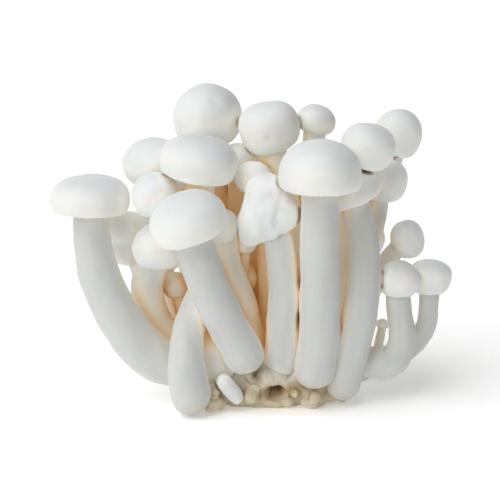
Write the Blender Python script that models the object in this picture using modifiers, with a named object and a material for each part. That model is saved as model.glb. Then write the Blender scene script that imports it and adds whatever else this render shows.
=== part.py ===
"""A bunch of white shimeji mushrooms that stands on its cut base.

The bunch has one knobbly base of grown-together roots, cut flat underneath,
and mushrooms of all sizes that fan out of it. Every mushroom grew as one
piece, so its stem and its cap are one solid.

Axes: the origin is the middle of the cut face, +Z is up, +X is to the right
and -Y is the side that faces the viewer. The tables are in millimetres.
"""

import math
import random
from collections import namedtuple

import bmesh
import bpy
import numpy
from mathutils import Matrix, Vector, noise

MM = 0.001
GAP = 0.3
SEED = 7

# Colour and roughness of the mushrooms and of the base
WHITE = (0.83, 0.82, 0.76), 0.5
BROWN = (0.52, 0.42, 0.29), 0.75

# The base: a squat dome with lobes and pins, cut flat at the bottom
BASE_CENTRE = Vector((0.0, 0.0, 2.0))
BASE_HALF = (17.0, 18.0, 10.0)
BASE_LUMP_SIZE = 6.0
BASE_LUMP_HEIGHT = 1.3

# Pins: young mushrooms without a cap yet, set round the base, from deep in it to outside it
PIN_COUNT = 12
PIN_RADIUS = 0.8
PIN_LENGTH = (3.9, 5.2)
PIN_ROOT = 0.86
PIN_HEIGHT = (0.25, 0.4)
PIN_RISE = (0.1, 0.6)

# How a foot is rounded: distance from its end in foot radii, and part of the full width there
FOOT_ROUNDING = ((0.0, 0.42), (0.3, 0.78), (0.9, 1.0))

# Caps: gills, how far out of round they are, and how many sides and rings they have
GILL_DEPTH = 0.45
GILLS_FROM, GILLS_TO = 0.3, 0.7
OVAL, WAVE, RIPPLE = 0.025, 0.015, 0.04
OPEN_CAP = 14
BIG_CAP = 12
PIN_CAP = 6

# How neighbours push each other apart: rings of a stem that feel it, balls that fill a cap
PUSH_ROUNDS = 160
PUSH_RINGS = 11
CAP_BALLS = 9
CAP_BALL_SIZE = 0.43
CAP_PUSH = 1.5
PUSH_GAP = 1.5 * GAP

# How readily a mushroom gives way to its neighbours, across, in depth and up
SHOWN = (0.10, 0.45, 0.06)
CROWDED = (0.45, 0.8, 0.15)

# stem: diameters at the foot, in the middle and at the neck
# cap: width, height above its widest ring, depth below it, squareness of the dome
# lean: degrees to the right and towards the viewer
Mushroom = namedtuple("Mushroom", "name yields stem cap lean gills route")

# Routes start at the foot and end at the middle of the cap's widest ring
MUSHROOMS = [
    Mushroom("far_left", SHOWN, (11.2, 10.6, 7.8), (19.3, 6.0, 2.5, 2.5), (0, 4), 14,
             [(-9.5, -4.5, 7), (-18, -9.5, 8.7), (-27.5, -13, 12), (-36.6, -13.5, 23),
              (-41.5, -13, 34), (-42.8, -12.5, 43), (-43.2, -12, 51.8)]),
    Mushroom("front_left", SHOWN, (9.6, 9.2, 8.2), (19.6, 7.2, 2.6, 2.2), (-17, 12), 14,
             [(-3.6, -16.2, 10.6), (-5.8, -19, 15.4), (-10.5, -22.8, 24.8), (-14, -25.5, 33.6),
              (-16.3, -27, 40.7), (-18.8, -28, 49.8)]),
    Mushroom("front_left_low", SHOWN, (9.4, 7.8, 6.4), (8.4, 3.4, 2.6, 2.2), (20, -15), 0,
             [(-16.4, -25, 1.3), (-18, -25.2, 5.2), (-19.2, -24.5, 12.3), (-19, -22.5, 19),
              (-17, -20, 24.6), (-15.4, -17.5, 29), (-14.6, -16, 33.6)]),
    Mushroom("front_center", SHOWN, (9.4, 9.2, 8.0), (20.4, 9.3, 2.6, 2.2), (0, 2), 14,
             [(11, -17.5, 6.2), (12, -19, 12), (13, -22, 20), (13.3, -24.5, 30), (13, -26, 45),
              (13.1, -27, 60.1)]),
    Mushroom("front_folded", SHOWN, (8.6, 7.3, 6.4), (10.4, 5.2, 4.6, 2.0), (-12, 10), 0,
             [(1.6, -15.5, 8.4), (2.6, -17.5, 13), (3.5, -19.5, 18), (4.5, -20.5, 24),
              (4.8, -21.5, 31.3), (3.7, -22, 41.3), (0, -21.5, 55.5)]),
    Mushroom("front_right", SHOWN, (8.0, 8.0, 6.6), (14.8, 5.2, 2.2, 2.2), (-20, 6), 12,
             [(17.9, -15.5, 2.4), (19, -16.5, 6.5), (21.2, -18, 15.5), (23.4, -18.5, 25.6),
              (24.4, -16.5, 35), (23.4, -14, 44.7), (21.2, -12.5, 54.8)]),
    Mushroom("upper_left", SHOWN, (8.4, 7.2, 6.8), (18.6, 6.4, 3.6, 2.2), (8, 8), 12,
             [(-9.8, -13.8, 6.6), (-11.6, -14.3, 10.5), (-13.7, -14, 16.5), (-15, -11.5, 23.8),
              (-16, -9.5, 41.2), (-16.1, -12.5, 50.6), (-16.2, -17, 62.4)]),
    Mushroom("top_left", SHOWN, (6.0, 6.2, 6.0), (17.6, 8.3, 5.6, 2.0), (0, 4), 0,
             [(-3, 3.5, 9.5), (-8, 2, 34), (-13.2, 0, 56), (-14.2, -1, 71)]),
    Mushroom("left_back", CROWDED, (5.6, 5.6, 5.4), (14.8, 6.4, 4.0, 2.1), (-14, 6), 0,
             [(-7, 0, 8.5), (-14.5, 1.5, 31), (-22.6, -2, 46), (-27.6, -9, 58.9)]),
    Mushroom("left_upper", CROWDED, (5.6, 5.4, 5.0), (12.6, 5.6, 3.6, 2.1), (-16, 8), 0,
             [(-6.5, -5.5, 9), (-14, -3.5, 28), (-20.5, -1, 42), (-24.6, -6.5, 50),
              (-27, -13.5, 54.5)]),
    Mushroom("left_behind", CROWDED, (5.2, 5.2, 5.0), (12.9, 6.8, 5.2, 2.0), (-12, 0), 0,
             [(-12.5, 5, 5), (-26, 3, 16), (-29.5, 1.5, 26), (-33.9, 0, 41.3)]),
    Mushroom("left_lower", SHOWN, (6.6, 7.6, 6.8), (13.4, 6.0, 4.2, 2.1), (0, 6), 0,
             [(-11, -1, 7), (-22, -2.5, 12.5), (-28, -3.5, 20), (-29.5, -6, 29), (-26.1, -11, 40)]),
    Mushroom("front_small", CROWDED, (4.6, 5.6, 5.0), (8.4, 4.0, 3.4, 2.0), (0, 6), 0,
             [(-1.2, -11, 9.5), (-4, -13.5, 18), (-5.5, -13, 24.5), (-7.7, -12.5, 31),
              (-9.7, -13, 38), (-10.9, -16, 46.6)]),
    Mushroom("upper_behind", CROWDED, (4.6, 4.6, 4.4), (9.6, 5.2, 3.8, 2.0), (0, 4), 0,
             [(-1.5, 0, 10), (-4, -2, 32), (-7, -2, 50), (-8.3, -2, 59.4)]),
    Mushroom("center_behind", CROWDED, (4.4, 4.4, 4.2), (9.0, 4.6, 2.6, 2.1), (0, 4), 0,
             [(1, -5, 10), (1, -7, 30), (-0.2, -9, 47), (-0.5, -10, 57)]),
    Mushroom("top_center", SHOWN, (6.0, 6.4, 6.4), (14.8, 6.4, 5.0, 2.4), (-12, 4), 0,
             [(6, -9.5, 9), (7, -7.5, 30), (5, -7, 50), (2.2, -8, 61), (1.2, -8, 69.4)]),
    Mushroom("top_mid", SHOWN, (4.8, 4.8, 5.4), (10.0, 4.2, 2.6, 2.2), (12, 6), 0,
             [(4.5, -1, 9.5), (8, -1, 32), (11.6, -4, 60), (12.2, -4, 70.1)]),
    Mushroom("upper_right", SHOWN, (5.6, 6.0, 5.8), (13.8, 5.5, 4.2, 2.2), (20, 4), 0,
             [(11.5, -10, 8), (17, -6, 26), (19.6, -2.5, 43), (20, -3.6, 53), (23.2, -9.8, 61.5),
              (25.3, -16, 65.7)]),
    Mushroom("top_right", SHOWN, (5.2, 5.4, 5.2), (12.0, 5.8, 5.0, 2.0), (10, 0), 0,
             [(9, -0.5, 8.5), (18, 4, 28), (27, 7.5, 44), (31.3, 7.8, 55), (33.6, 1.5, 66.7)]),
    Mushroom("right", SHOWN, (5.2, 5.0, 4.4), (12.2, 6.0, 4.0, 2.3), (12, 0), 0,
             [(12, 1, 7.5), (21.5, 2, 23), (27, 0.5, 40), (29.5, -1.4, 54.8)]),
    Mushroom("right_small_high", SHOWN, (4.4, 4.4, 4.2), (8.6, 4.6, 3.8, 2.0), (-12, 0), 0,
             [(14.5, 1, 5), (22, -1, 16), (27.5, -3.5, 28.5), (31, -3.8, 35), (35.7, -4, 40.6)]),
    Mushroom("right_small", SHOWN, (5.6, 6.2, 5.2), (10.6, 4.6, 3.4, 2.1), (0, 4), 0,
             [(12.5, -6, 7), (21, -10, 9.3), (28.5, -12.5, 10), (33, -13, 12.2), (34.2, -13, 18.5),
              (33.5, -12.5, 25), (33.6, -12, 32.1)]),
    Mushroom("far_right", SHOWN, (4.8, 5.0, 4.4), (10.9, 3.6, 2.8, 2.4), (4, 4), 0,
             [(15, -2.5, 4.5), (25, -3.8, 6.5), (33, -4, 9.4), (37.6, -4, 12.8), (40.5, -5, 17.2),
              (41, -6.5, 23), (41.1, -8, 31.7)]),
    Mushroom("gap_small", CROWDED, (3.2, 3.0, 2.8), (5.6, 2.8, 2.0, 2.0), (0, 4), 0,
             [(1.5, -8.5, 10), (-1, -10.5, 26), (-5.5, -12, 41)]),
    Mushroom("gap_cap", CROWDED, (3.6, 3.4, 3.2), (6.6, 3.4, 2.6, 2.0), (0, 4), 0,
             [(-3, -4, 10), (-4, -3, 21), (-4.3, -3, 31.1)]),
    Mushroom("gap_left", CROWDED, (3.6, 3.4, 3.2), (6.6, 3.2, 2.6, 2.0), (-10, 0), 0,
             [(-11.5, 2.5, 6.5), (-19, 1, 16), (-22.8, 0, 27.8)]),
    Mushroom("finger", SHOWN, (3.0, 3.8, 3.4), (4.2, 2.2, 1.6, 2.0), (-40, 0), 0,
             [(-5, -17.6, 3.2), (-7.8, -20.4, 5.6), (-10.2, -21.6, 8.4)]),
    Mushroom("back_high_left", CROWDED, (5.4, 5.4, 5.2), (15.0, 6.4, 3.4, 2.1), (-8, -10), 12,
             [(-7, 6, 8), (-13, 8, 30), (-18, 10, 54)]),
    Mushroom("back_high_center", CROWDED, (5.6, 5.4, 5.2), (16.0, 6.6, 3.4, 2.1), (0, -8), 12,
             [(0.5, 5.5, 9), (-0.5, 7, 32), (-1, 9, 56)]),
    Mushroom("back_high_right", CROWDED, (5.6, 5.4, 5.2), (15.4, 6.4, 3.2, 2.2), (8, -8), 12,
             [(5.5, 4, 9), (11, 7, 32), (16, 10, 55)]),
    Mushroom("back_left", CROWDED, (6.4, 6.6, 6.0), (16.4, 6.0, 2.8, 2.3), (-10, -16), 12,
             [(-9.5, 10, 6), (-17, 16.5, 22), (-22, 20, 41)]),
    Mushroom("back_center", CROWDED, (7.2, 7.0, 6.4), (18.2, 6.8, 3.0, 2.2), (-4, -16), 12,
             [(-3.5, 11, 7), (-5.5, 19, 26), (-5.5, 25, 46)]),
    Mushroom("back_right", CROWDED, (6.8, 6.8, 6.2), (16.8, 6.4, 3.0, 2.2), (8, -16), 12,
             [(5.5, 10.5, 7), (11, 18, 25), (14, 23, 44)]),
    Mushroom("back_low_right", CROWDED, (5.2, 5.4, 5.0), (13.0, 5.6, 3.4, 2.1), (16, -12), 0,
             [(11.5, 7.5, 5), (20, 12.5, 19), (25, 16.8, 36.5)]),
    Mushroom("back_low_left", CROWDED, (4.4, 4.4, 4.2), (10.6, 4.8, 3.2, 2.0), (-14, -10), 0,
             [(-12.5, 7.5, 4), (-22, 10.5, 17), (-27, 11, 32)]),
    Mushroom("back_low_center", CROWDED, (4.8, 5.0, 4.6), (12.4, 5.4, 3.6, 2.0), (4, -20), 0,
             [(1.5, 14, 4.5), (3.5, 23, 15), (5, 29, 29)]),
    Mushroom("back_button", CROWDED, (4.0, 4.0, 3.8), (8.8, 4.2, 3.4, 2.0), (-6, -18), 0,
             [(-5, 14.5, 3.6), (-9, 23, 12), (-11.5, 27.5, 23)]),
]

# A cap folded into lobes has a ball in the middle, of this radius
FOLDED = {"front_folded": 5.2}
# The lobes of such caps: across, depth and height from the cap's middle, and radius
EXTRA_LOBES = {
    "front_folded": [(-2.0, -1.5, -7.0, 5.0), (4.4, -1.2, -4.8, 4.6)],
    "left_behind": [(-1.0, 0.5, -4.0, 5.0)],
}

# A tiny mushroom that sprouts from a bigger one's foot: route and cap
SPROUTS = {
    "far_right": ([(27.8, -3.7, 8.0), (28.8, -5.5, 13.0), (29.7, -7, 19.0)], (1.8, 1.7, 1.6),
                  (3.4, 1.4, 0.8, 2.0)),
}

# Lobes of the base: across, depth, height and radius
BASE_LOBES = [
    (-12.5, -15, 4.4, 4.6),
    (-14.2, -19.6, 3.6, 3.6),
    (-3.2, -14.6, 6.4, 4.6),
    (4.0, -14.2, 4.8, 5.0),
    (12.0, -14, 3.4, 4.6),
    (16.0, -11.5, 4.6, 5.0),
    (17.0, -4, 3.8, 4.4),
    (15.5, 5, 3.4, 4.6),
    (8.0, 14, 3.4, 4.8),
    (-2.0, 16.5, 3.2, 4.4),
    (-10.0, 13, 3.4, 4.6),
    (-16.0, 5, 3.6, 4.6),
    (-16.5, -5, 4.2, 4.6),
]
# Nubs on the front of the base: across, depth, height and radius
BASE_NUBS = [
    (-3.8, -18.3, 7.2, 1.2),
    (6.6, -19, 4.4, 1.3),
    (12.0, -18.2, 3.6, 1.9),
]


def smooth_line(points, places):
    """Points at the given places, 0 to 1, on a smooth curve through the route's points."""
    route = numpy.array(points, float)
    knots = numpy.zeros(len(route))
    for i in range(1, len(route)):
        knots[i] = knots[i - 1] + math.dist(route[i], route[i - 1])
    slopes = (route[1:] - route[:-1]) / numpy.diff(knots)[:, None]
    tangents = numpy.vstack([slopes[:1], (slopes[1:] + slopes[:-1]) / 2, slopes[-1:]])
    line = []
    for place in places:
        along = place * knots[-1]
        i = min(int(numpy.searchsorted(knots, along, side="right")) - 1, len(route) - 2)
        span = knots[i + 1] - knots[i]
        t = (along - knots[i]) / span
        line.append((2 * t**3 - 3 * t**2 + 1) * route[i] + (t**3 - 2 * t**2 + t) * span * tangents[i]
                    + (3 * t**2 - 2 * t**3) * route[i + 1] + (t**3 - t**2) * span * tangents[i + 1])
    return numpy.array(line)


def stem_radius(stem, t):
    """A stem's radius at a place, 0 to 1, from its diameters at the foot, middle and neck."""
    foot, middle, neck = stem
    return (foot * (1 - t) * (1 - 2 * t) + 4 * middle * t * (1 - t) + neck * t * (2 * t - 1)) / 2


def stem_places(route, stem, rings):
    """Where a stem's rings are, 0 to 1, and how wide each is: the foot is rounded."""
    length = sum(math.dist(a, b) for a, b in zip(route, route[1:]))
    foot = stem[0] / 2 / length
    places = [foot * step for step, _ in FOOT_ROUNDING]
    start = places[-1]
    places += [start + (1 - start) * (i + 1) / rings for i in range(rings)]
    rounding = [part for _, part in FOOT_ROUNDING] + [1.0] * rings
    return places, [stem_radius(stem, t) * part for t, part in zip(places, rounding)]


def stem_detail(mushroom):
    """How many rings and sides a stem has: more for a bent one, fewer for a small one."""
    width = mushroom.cap[0]
    sides = 10 if width > 18 else 8 if width > 9 else 6
    return len(mushroom.route) + 2, sides


def cap_axis(lean):
    """The direction that a cap's top points in."""
    right, front = (math.radians(angle) for angle in lean)
    return Vector((math.sin(right), -math.sin(front), math.cos(right) * math.cos(front))).normalized()


def cap_balls(mushroom):
    """Balls that fill a cap, as offsets from its middle, with their radii."""
    width, dome, lip, _ = mushroom.cap
    turn = Vector((0, 0, 1)).rotation_difference(cap_axis(mushroom.lean))
    ball = CAP_BALL_SIZE * (dome + lip)
    ring = width / 2 - ball
    middle = (dome - lip) / 2
    offsets = [turn @ Vector((0, 0, middle))]
    for i in range(CAP_BALLS):
        angle = 2 * math.pi * i / CAP_BALLS
        low = middle - 0.2 * ball
        offsets.append(turn @ Vector((ring * math.cos(angle), ring * math.sin(angle), low)))
    radii = [ball] * len(offsets)
    for x, y, z, radius in EXTRA_LOBES.get(mushroom.name, ()):
        offsets.append(Vector((x, y, z)))
        radii.append(radius)
    return offsets, radii


def spread_push(moves):
    """The pushes on a stem's rings, shared with the rings beside them."""
    for _ in range(3):
        inner = (moves[:-2] + 2 * moves[1:-1] + moves[2:]) / 4
        foot = (2 * moves[:1] + moves[1:2]) / 3
        neck = (2 * moves[-1:] + moves[-2:-1]) / 3
        moves = numpy.concatenate([foot, inner, neck])
    return moves


def push_apart(mushrooms):
    """The mushrooms' stem lines, with every two that would meet pushed apart, as they grow."""
    places = [i / (PUSH_RINGS - 1) for i in range(PUSH_RINGS)]
    lines = [smooth_line(mushroom.route, places) for mushroom in mushrooms]
    caps = []
    sizes = []
    owners = []
    for number, mushroom in enumerate(mushrooms):
        offsets, radii = cap_balls(mushroom)
        caps.append(numpy.array([tuple(offset) for offset in offsets]))
        sizes += [stem_radius(mushroom.stem, t) for t in places] + radii
        owners += [number] * (PUSH_RINGS + len(radii))
    sizes = numpy.array(sizes)
    owners = numpy.array(owners)
    apart = owners[:, None] != owners[None, :]
    reach = sizes[:, None] + sizes[None, :] + PUSH_GAP
    for _ in range(PUSH_ROUNDS):
        centres = numpy.concatenate([part for line, cap in zip(lines, caps)
                                     for part in (line, line[-1] + cap)])
        away = centres[:, None, :] - centres[None, :, :]
        distance = numpy.sqrt((away * away).sum(axis=2)) + 1e-9
        depth = numpy.where(apart, numpy.maximum(reach - distance, 0.0), 0.0)
        touching = numpy.maximum((depth > 0).sum(axis=1), 1)
        push = (away * (depth / distance)[:, :, None]).sum(axis=1) / touching[:, None]
        for number, line in enumerate(lines):
            own = push[owners == number]
            moves, cap_moves = own[:PUSH_RINGS], own[PUSH_RINGS:]
            pushed = numpy.abs(cap_moves).sum(axis=1) > 0
            if pushed.any():
                moves[-1] += cap_moves[pushed].mean(axis=0) * CAP_PUSH
            line += spread_push(moves) * numpy.array(mushrooms[number].yields)
    return lines


def new_object(name, mesh, collection):
    thing = bpy.data.objects.new(name, mesh)
    collection.objects.link(thing)
    return thing


def evaluated_copy(source, name, collection, weld=True):
    """A plain mesh object of what an object with modifiers, or a curve, looks like."""
    graph = bpy.context.evaluated_depsgraph_get()
    mesh = bpy.data.meshes.new_from_object(source.evaluated_get(graph))
    if weld:
        cleaner = bmesh.new()
        cleaner.from_mesh(mesh)
        bmesh.ops.remove_doubles(cleaner, verts=cleaner.verts, dist=0.01 * MM)
        cleaner.to_mesh(mesh)
        cleaner.free()
    place = source.matrix_world.copy()
    bpy.data.objects.remove(source)
    copy = new_object(name, mesh, collection)
    copy.matrix_world = place
    return copy


def make_stem(name, route, stem, rings, sides, collection, extra=0.0):
    """A stem: a bevelled curve with a rounded foot, swollen by extra all round."""
    curve = bpy.data.curves.new(name, "CURVE")
    curve.dimensions = "3D"
    curve.bevel_depth = MM
    curve.bevel_resolution = sides // 2 - 2
    curve.use_fill_caps = True
    curve.twist_mode = "MINIMUM"
    places, radii = stem_places(route, stem, rings)
    line = smooth_line(route, places)
    if extra:
        toes = line[0] - line[1]
        line[0] += toes / math.dist(toes, (0, 0, 0)) * extra
    spline = curve.splines.new("POLY")
    spline.points.add(len(line) - 1)
    for point, place, radius in zip(spline.points, line, radii):
        point.co = (*(place * MM), 1.0)
        point.radius = radius + extra
    return evaluated_copy(new_object(name, curve, collection), name, collection)


def cap_profile(cap, dome_rings, is_open):
    """Half of a cap's outline, from its top down the outside and back in under the margin."""
    width, dome, lip, square = cap
    half = width / 2
    outline = []
    for i in range(dome_rings + 1):
        angle = math.pi / 2 * (1 - i / dome_rings)
        outline.append((half * max(math.cos(angle), 0.0) ** (2 / square) if i else 0.0,
                        dome * math.sin(angle) ** (2 / square) if i < dome_rings else 0.0))
    outline.append((half * 0.96, -0.62 * lip))
    outline.append((half * 0.82, -lip))
    if is_open:
        outline.append((half * 0.62, -0.7 * lip))
    outline.append((0.0, -0.42 * lip))
    return outline


def make_cap(name, cap, lean, gills, middle, collection):
    """A cap: a turned profile, a little out of round, with gills under it where it is open."""
    segments = 2 * gills if gills else 16 if cap[0] > BIG_CAP else 12 if cap[0] > PIN_CAP else 8
    dome_rings = 4 if cap[0] > OPEN_CAP else 3
    outline = cap_profile(cap, dome_rings, bool(gills))
    mesh = bpy.data.meshes.new(name)
    mesh.from_pydata([(x * MM, 0.0, z * MM) for x, z in outline],
                     [(i, i + 1) for i in range(len(outline) - 1)], [])
    turned = new_object(name, mesh, collection)
    screw = turned.modifiers.new("turn", "SCREW")
    screw.steps = segments
    screw.render_steps = segments
    screw.use_merge_vertices = True
    screw.merge_threshold = 0.01 * MM
    solid = evaluated_copy(turned, name, collection)
    half, lip = cap[0] / 2 * MM, cap[2] * MM
    draw = random.Random(f"{SEED} {name}")
    phases = [draw.uniform(0, 2 * math.pi) for _ in range(3)]
    for vertex in solid.data.vertices:
        radius = math.hypot(vertex.co.x, vertex.co.y)
        angle = math.atan2(vertex.co.y, vertex.co.x)
        if gills and GILLS_FROM * half < radius < GILLS_TO * half and vertex.co.z < 0:
            side = 1 if round(angle / (2 * math.pi / segments)) % 2 else -1
            vertex.co.z += side * GILL_DEPTH * MM
        swell = 1 + OVAL * math.sin(2 * angle + phases[0]) + WAVE * math.sin(3 * angle + phases[1])
        vertex.co.x *= swell
        vertex.co.y *= swell
        vertex.co.z += RIPPLE * lip * math.sin(2 * angle + phases[2]) * radius / half
    turn = Vector((0, 0, 1)).rotation_difference(cap_axis(lean)).to_matrix().to_4x4()
    solid.data.transform(Matrix.Translation(Vector(middle) * MM) @ turn)
    return solid


def make_ball(name, place, collection, scale=(1, 1, 1), detail=2):
    """A rough ball: across, depth, height and radius in place."""
    ball = bmesh.new()
    bmesh.ops.create_icosphere(ball, subdivisions=detail, radius=place[3] * MM)
    bmesh.ops.scale(ball, vec=scale, verts=ball.verts)
    bmesh.ops.translate(ball, vec=Vector(place[:3]) * MM, verts=ball.verts)
    mesh = bpy.data.meshes.new(name)
    ball.to_mesh(mesh)
    ball.free()
    return new_object(name, mesh, collection)


def combine(target, operation, others, collection, solver="EXACT"):
    """The target joined with the others, or cut by them, as one plain mesh."""
    group = bpy.data.collections.new("group")
    bpy.context.scene.collection.children.link(group)
    for other in others:
        group.objects.link(other)
    boolean = target.modifiers.new("combine", "BOOLEAN")
    boolean.operation = operation
    boolean.operand_type = "COLLECTION"
    boolean.collection = group
    boolean.solver = solver
    joined = evaluated_copy(target, target.name, collection, weld=False)
    for other in others:
        bpy.data.objects.remove(other)
    bpy.data.collections.remove(group)
    return joined


def keep_largest(thing):
    """Only the biggest body of a mesh: crumbs that a cut leaves are dropped."""
    bm = bmesh.new()
    bm.from_mesh(thing.data)
    left = set(bm.verts)
    bodies = []
    while left:
        body = set()
        reached = [left.pop()]
        while reached:
            vertex = reached.pop()
            body.add(vertex)
            near = {edge.other_vert(vertex) for edge in vertex.link_edges} & left
            left -= near
            reached += near
        bodies.append(body)
    bodies.sort(key=len)
    for body in bodies[:-1]:
        bmesh.ops.delete(bm, geom=list(body), context="VERTS")
    bmesh.ops.dissolve_degenerate(bm, edges=bm.edges, dist=0.001 * MM)
    bmesh.ops.delete(bm, geom=[edge for edge in bm.edges if not edge.link_faces], context="EDGES")
    bmesh.ops.delete(bm, geom=[vertex for vertex in bm.verts if not vertex.link_faces],
                     context="VERTS")
    bmesh.ops.triangulate(bm, faces=bm.faces)
    bm.to_mesh(thing.data)
    bm.free()


def finish(thing, look):
    """Smooth shading and the piece's own material."""
    colour, roughness = look
    material = bpy.data.materials.new(thing.name)
    material.use_nodes = True
    shader = material.node_tree.nodes["Principled BSDF"]
    shader.inputs["Base Color"].default_value = (*colour, 1.0)
    shader.inputs["Roughness"].default_value = roughness
    shader.inputs["Metallic"].default_value = 0.0
    thing.data.materials.clear()
    thing.data.materials.append(material)
    thing.data.shade_smooth()
    thing.data.set_sharp_from_angle(angle=math.radians(40))


def make_mushroom(mushroom, line, collection):
    """One mushroom: its cap, the cap's extra lobes and what sprouts from its foot, all joined."""
    name = mushroom.name
    middle = tuple(line[-1])
    stem = make_stem(name, line, mushroom.stem, *stem_detail(mushroom), collection)
    if name in FOLDED:
        growths = [make_ball("cap", (*middle, FOLDED[name]), collection)]
    else:
        growths = [make_cap(name + " cap", mushroom.cap, mushroom.lean, mushroom.gills, middle,
                            collection)]
    for x, y, z, radius in EXTRA_LOBES.get(name, ()):
        place = (middle[0] + x, middle[1] + y, middle[2] + z, radius)
        growths.append(make_ball("lobe", place, collection, detail=2 if name in FOLDED else 1))
    if name in SPROUTS:
        route, sprout_stem, sprout_cap = SPROUTS[name]
        growths.append(make_stem("sprout", route, sprout_stem, 4, 6, collection))
        growths.append(make_cap("sprout cap", sprout_cap, (0, 0), 0, route[-1], collection))
    solid = combine(stem, "UNION", growths, collection)
    keep_largest(solid)
    finish(solid, WHITE)


def make_pin(angle, draw, collection):
    """A pin of the base, at an angle round it."""
    across, deep = math.cos(angle), math.sin(angle)
    part = Vector((across * PIN_ROOT, deep * PIN_ROOT, draw.uniform(*PIN_HEIGHT)))
    root = part * Vector(BASE_HALF) + BASE_CENTRE
    tip = root + Vector((across, deep, draw.uniform(*PIN_RISE))).normalized() * draw.uniform(*PIN_LENGTH)
    neck = 2 * PIN_RADIUS * draw.uniform(0.8, 1.25)
    route = [tip, (root + tip) / 2, root]
    return make_stem("pin", route, (neck * 1.3, neck, neck), 1, 6, collection)


def make_base(mushrooms, lines, collection):
    """The base: a lumpy dome with lobes, nubs and pins, hollowed where the feet press into it."""
    bm = bmesh.new()
    bmesh.ops.create_icosphere(bm, subdivisions=3, radius=1.0)
    for vertex in bm.verts:
        spot = vertex.co * Vector(BASE_HALF)
        lump = noise.noise(spot / BASE_LUMP_SIZE) * BASE_LUMP_HEIGHT
        vertex.co = (spot + spot.normalized() * lump + BASE_CENTRE) * MM
    mesh = bpy.data.meshes.new("base")
    bm.to_mesh(mesh)
    bm.free()
    base = new_object("base", mesh, collection)
    growths = [make_ball("lobe", lobe, collection, (1, 1, 0.9), 1) for lobe in BASE_LOBES]
    growths += [make_ball("nub", nub, collection, detail=1) for nub in BASE_NUBS]
    draw = random.Random(SEED)
    for i in range(PIN_COUNT):
        angle = 2 * math.pi * (i + draw.uniform(0.1, 0.9)) / PIN_COUNT
        growths.append(make_pin(angle, draw, collection))
    base = combine(base, "UNION", growths, collection)
    cut = bmesh.new()
    cut.from_mesh(base.data)
    bmesh.ops.bisect_plane(cut, geom=cut.verts[:] + cut.edges[:] + cut.faces[:],
                           plane_co=(0, 0, 0), plane_no=(0, 0, -1), clear_outer=True)
    bmesh.ops.holes_fill(cut, edges=[edge for edge in cut.edges if edge.is_boundary], sides=0)
    cut.to_mesh(base.data)
    cut.free()
    sockets = [make_stem("socket", line, mushroom.stem, *stem_detail(mushroom), collection, GAP)
               for mushroom, line in zip(mushrooms, lines)]
    base = combine(base, "DIFFERENCE", sockets, collection, "MANIFOLD")
    keep_largest(base)
    finish(base, BROWN)


def main():
    for thing in list(bpy.data.objects):
        bpy.data.objects.remove(thing)
    bunch = bpy.data.collections.new("white_shimeji_bunch")
    bpy.context.scene.collection.children.link(bunch)
    lines = push_apart(MUSHROOMS)
    make_base(MUSHROOMS, lines, bunch)
    for mushroom, line in zip(MUSHROOMS, lines):
        make_mushroom(mushroom, line, bunch)


main()
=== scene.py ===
"""A bunch of white shimeji mushrooms on its cut base, with the finish of every piece.

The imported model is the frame: every mushroom here follows the same growth rule as its solid there,
with a finer skin, gills and dents. Tables are in millimetres, objects in metres.
"""

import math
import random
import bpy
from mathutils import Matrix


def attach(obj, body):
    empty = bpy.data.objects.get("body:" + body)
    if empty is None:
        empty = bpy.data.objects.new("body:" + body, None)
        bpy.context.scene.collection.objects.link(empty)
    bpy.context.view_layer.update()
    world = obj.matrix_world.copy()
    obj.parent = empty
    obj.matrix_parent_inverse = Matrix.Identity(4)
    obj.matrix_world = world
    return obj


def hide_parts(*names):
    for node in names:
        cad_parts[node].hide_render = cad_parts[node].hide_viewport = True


bl_info = {
    "name": "White Shimeji Bunch",
    "version": (1, 0, 0),
    "blender": (4, 5, 0),
    "location": "View3D > Sidebar > Shimeji",
    "description": "Grows a bunch of white shimeji mushrooms on a knobbly cut base",
    "category": "Add Mesh",
}

from collections import namedtuple

import bmesh
import bpy
import numpy
from bpy.props import FloatProperty, FloatVectorProperty, PointerProperty
from mathutils import Matrix, Vector

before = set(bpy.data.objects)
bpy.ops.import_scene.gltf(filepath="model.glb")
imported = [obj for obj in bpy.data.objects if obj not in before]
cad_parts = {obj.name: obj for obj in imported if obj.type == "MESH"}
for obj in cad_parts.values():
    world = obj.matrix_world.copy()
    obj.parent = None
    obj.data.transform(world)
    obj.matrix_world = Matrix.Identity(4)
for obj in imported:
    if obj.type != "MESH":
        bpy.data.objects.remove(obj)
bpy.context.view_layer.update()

MM = 0.001
TURN = 2 * math.pi
SEED = 7
# The gap that the solids keep between them
GAP = 0.3
# Creases sharper than this stay sharp, in degrees
SHARP_ANGLE = 60

# gives: how readily it gives way to its neighbours, across, in depth and up
# stem: diameters at the foot, in the middle and at the neck
# cap: width, height above its widest ring, depth below it, squareness of the dome
# lean: degrees to the right and towards the viewer
# gills: how many its solid has, or 0 where the cap is still closed
Mushroom = namedtuple("Mushroom", "name gives stem cap lean gills route")
SHOWN = (0.10, 0.45, 0.06)
CROWDED = (0.45, 0.8, 0.15)

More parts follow.
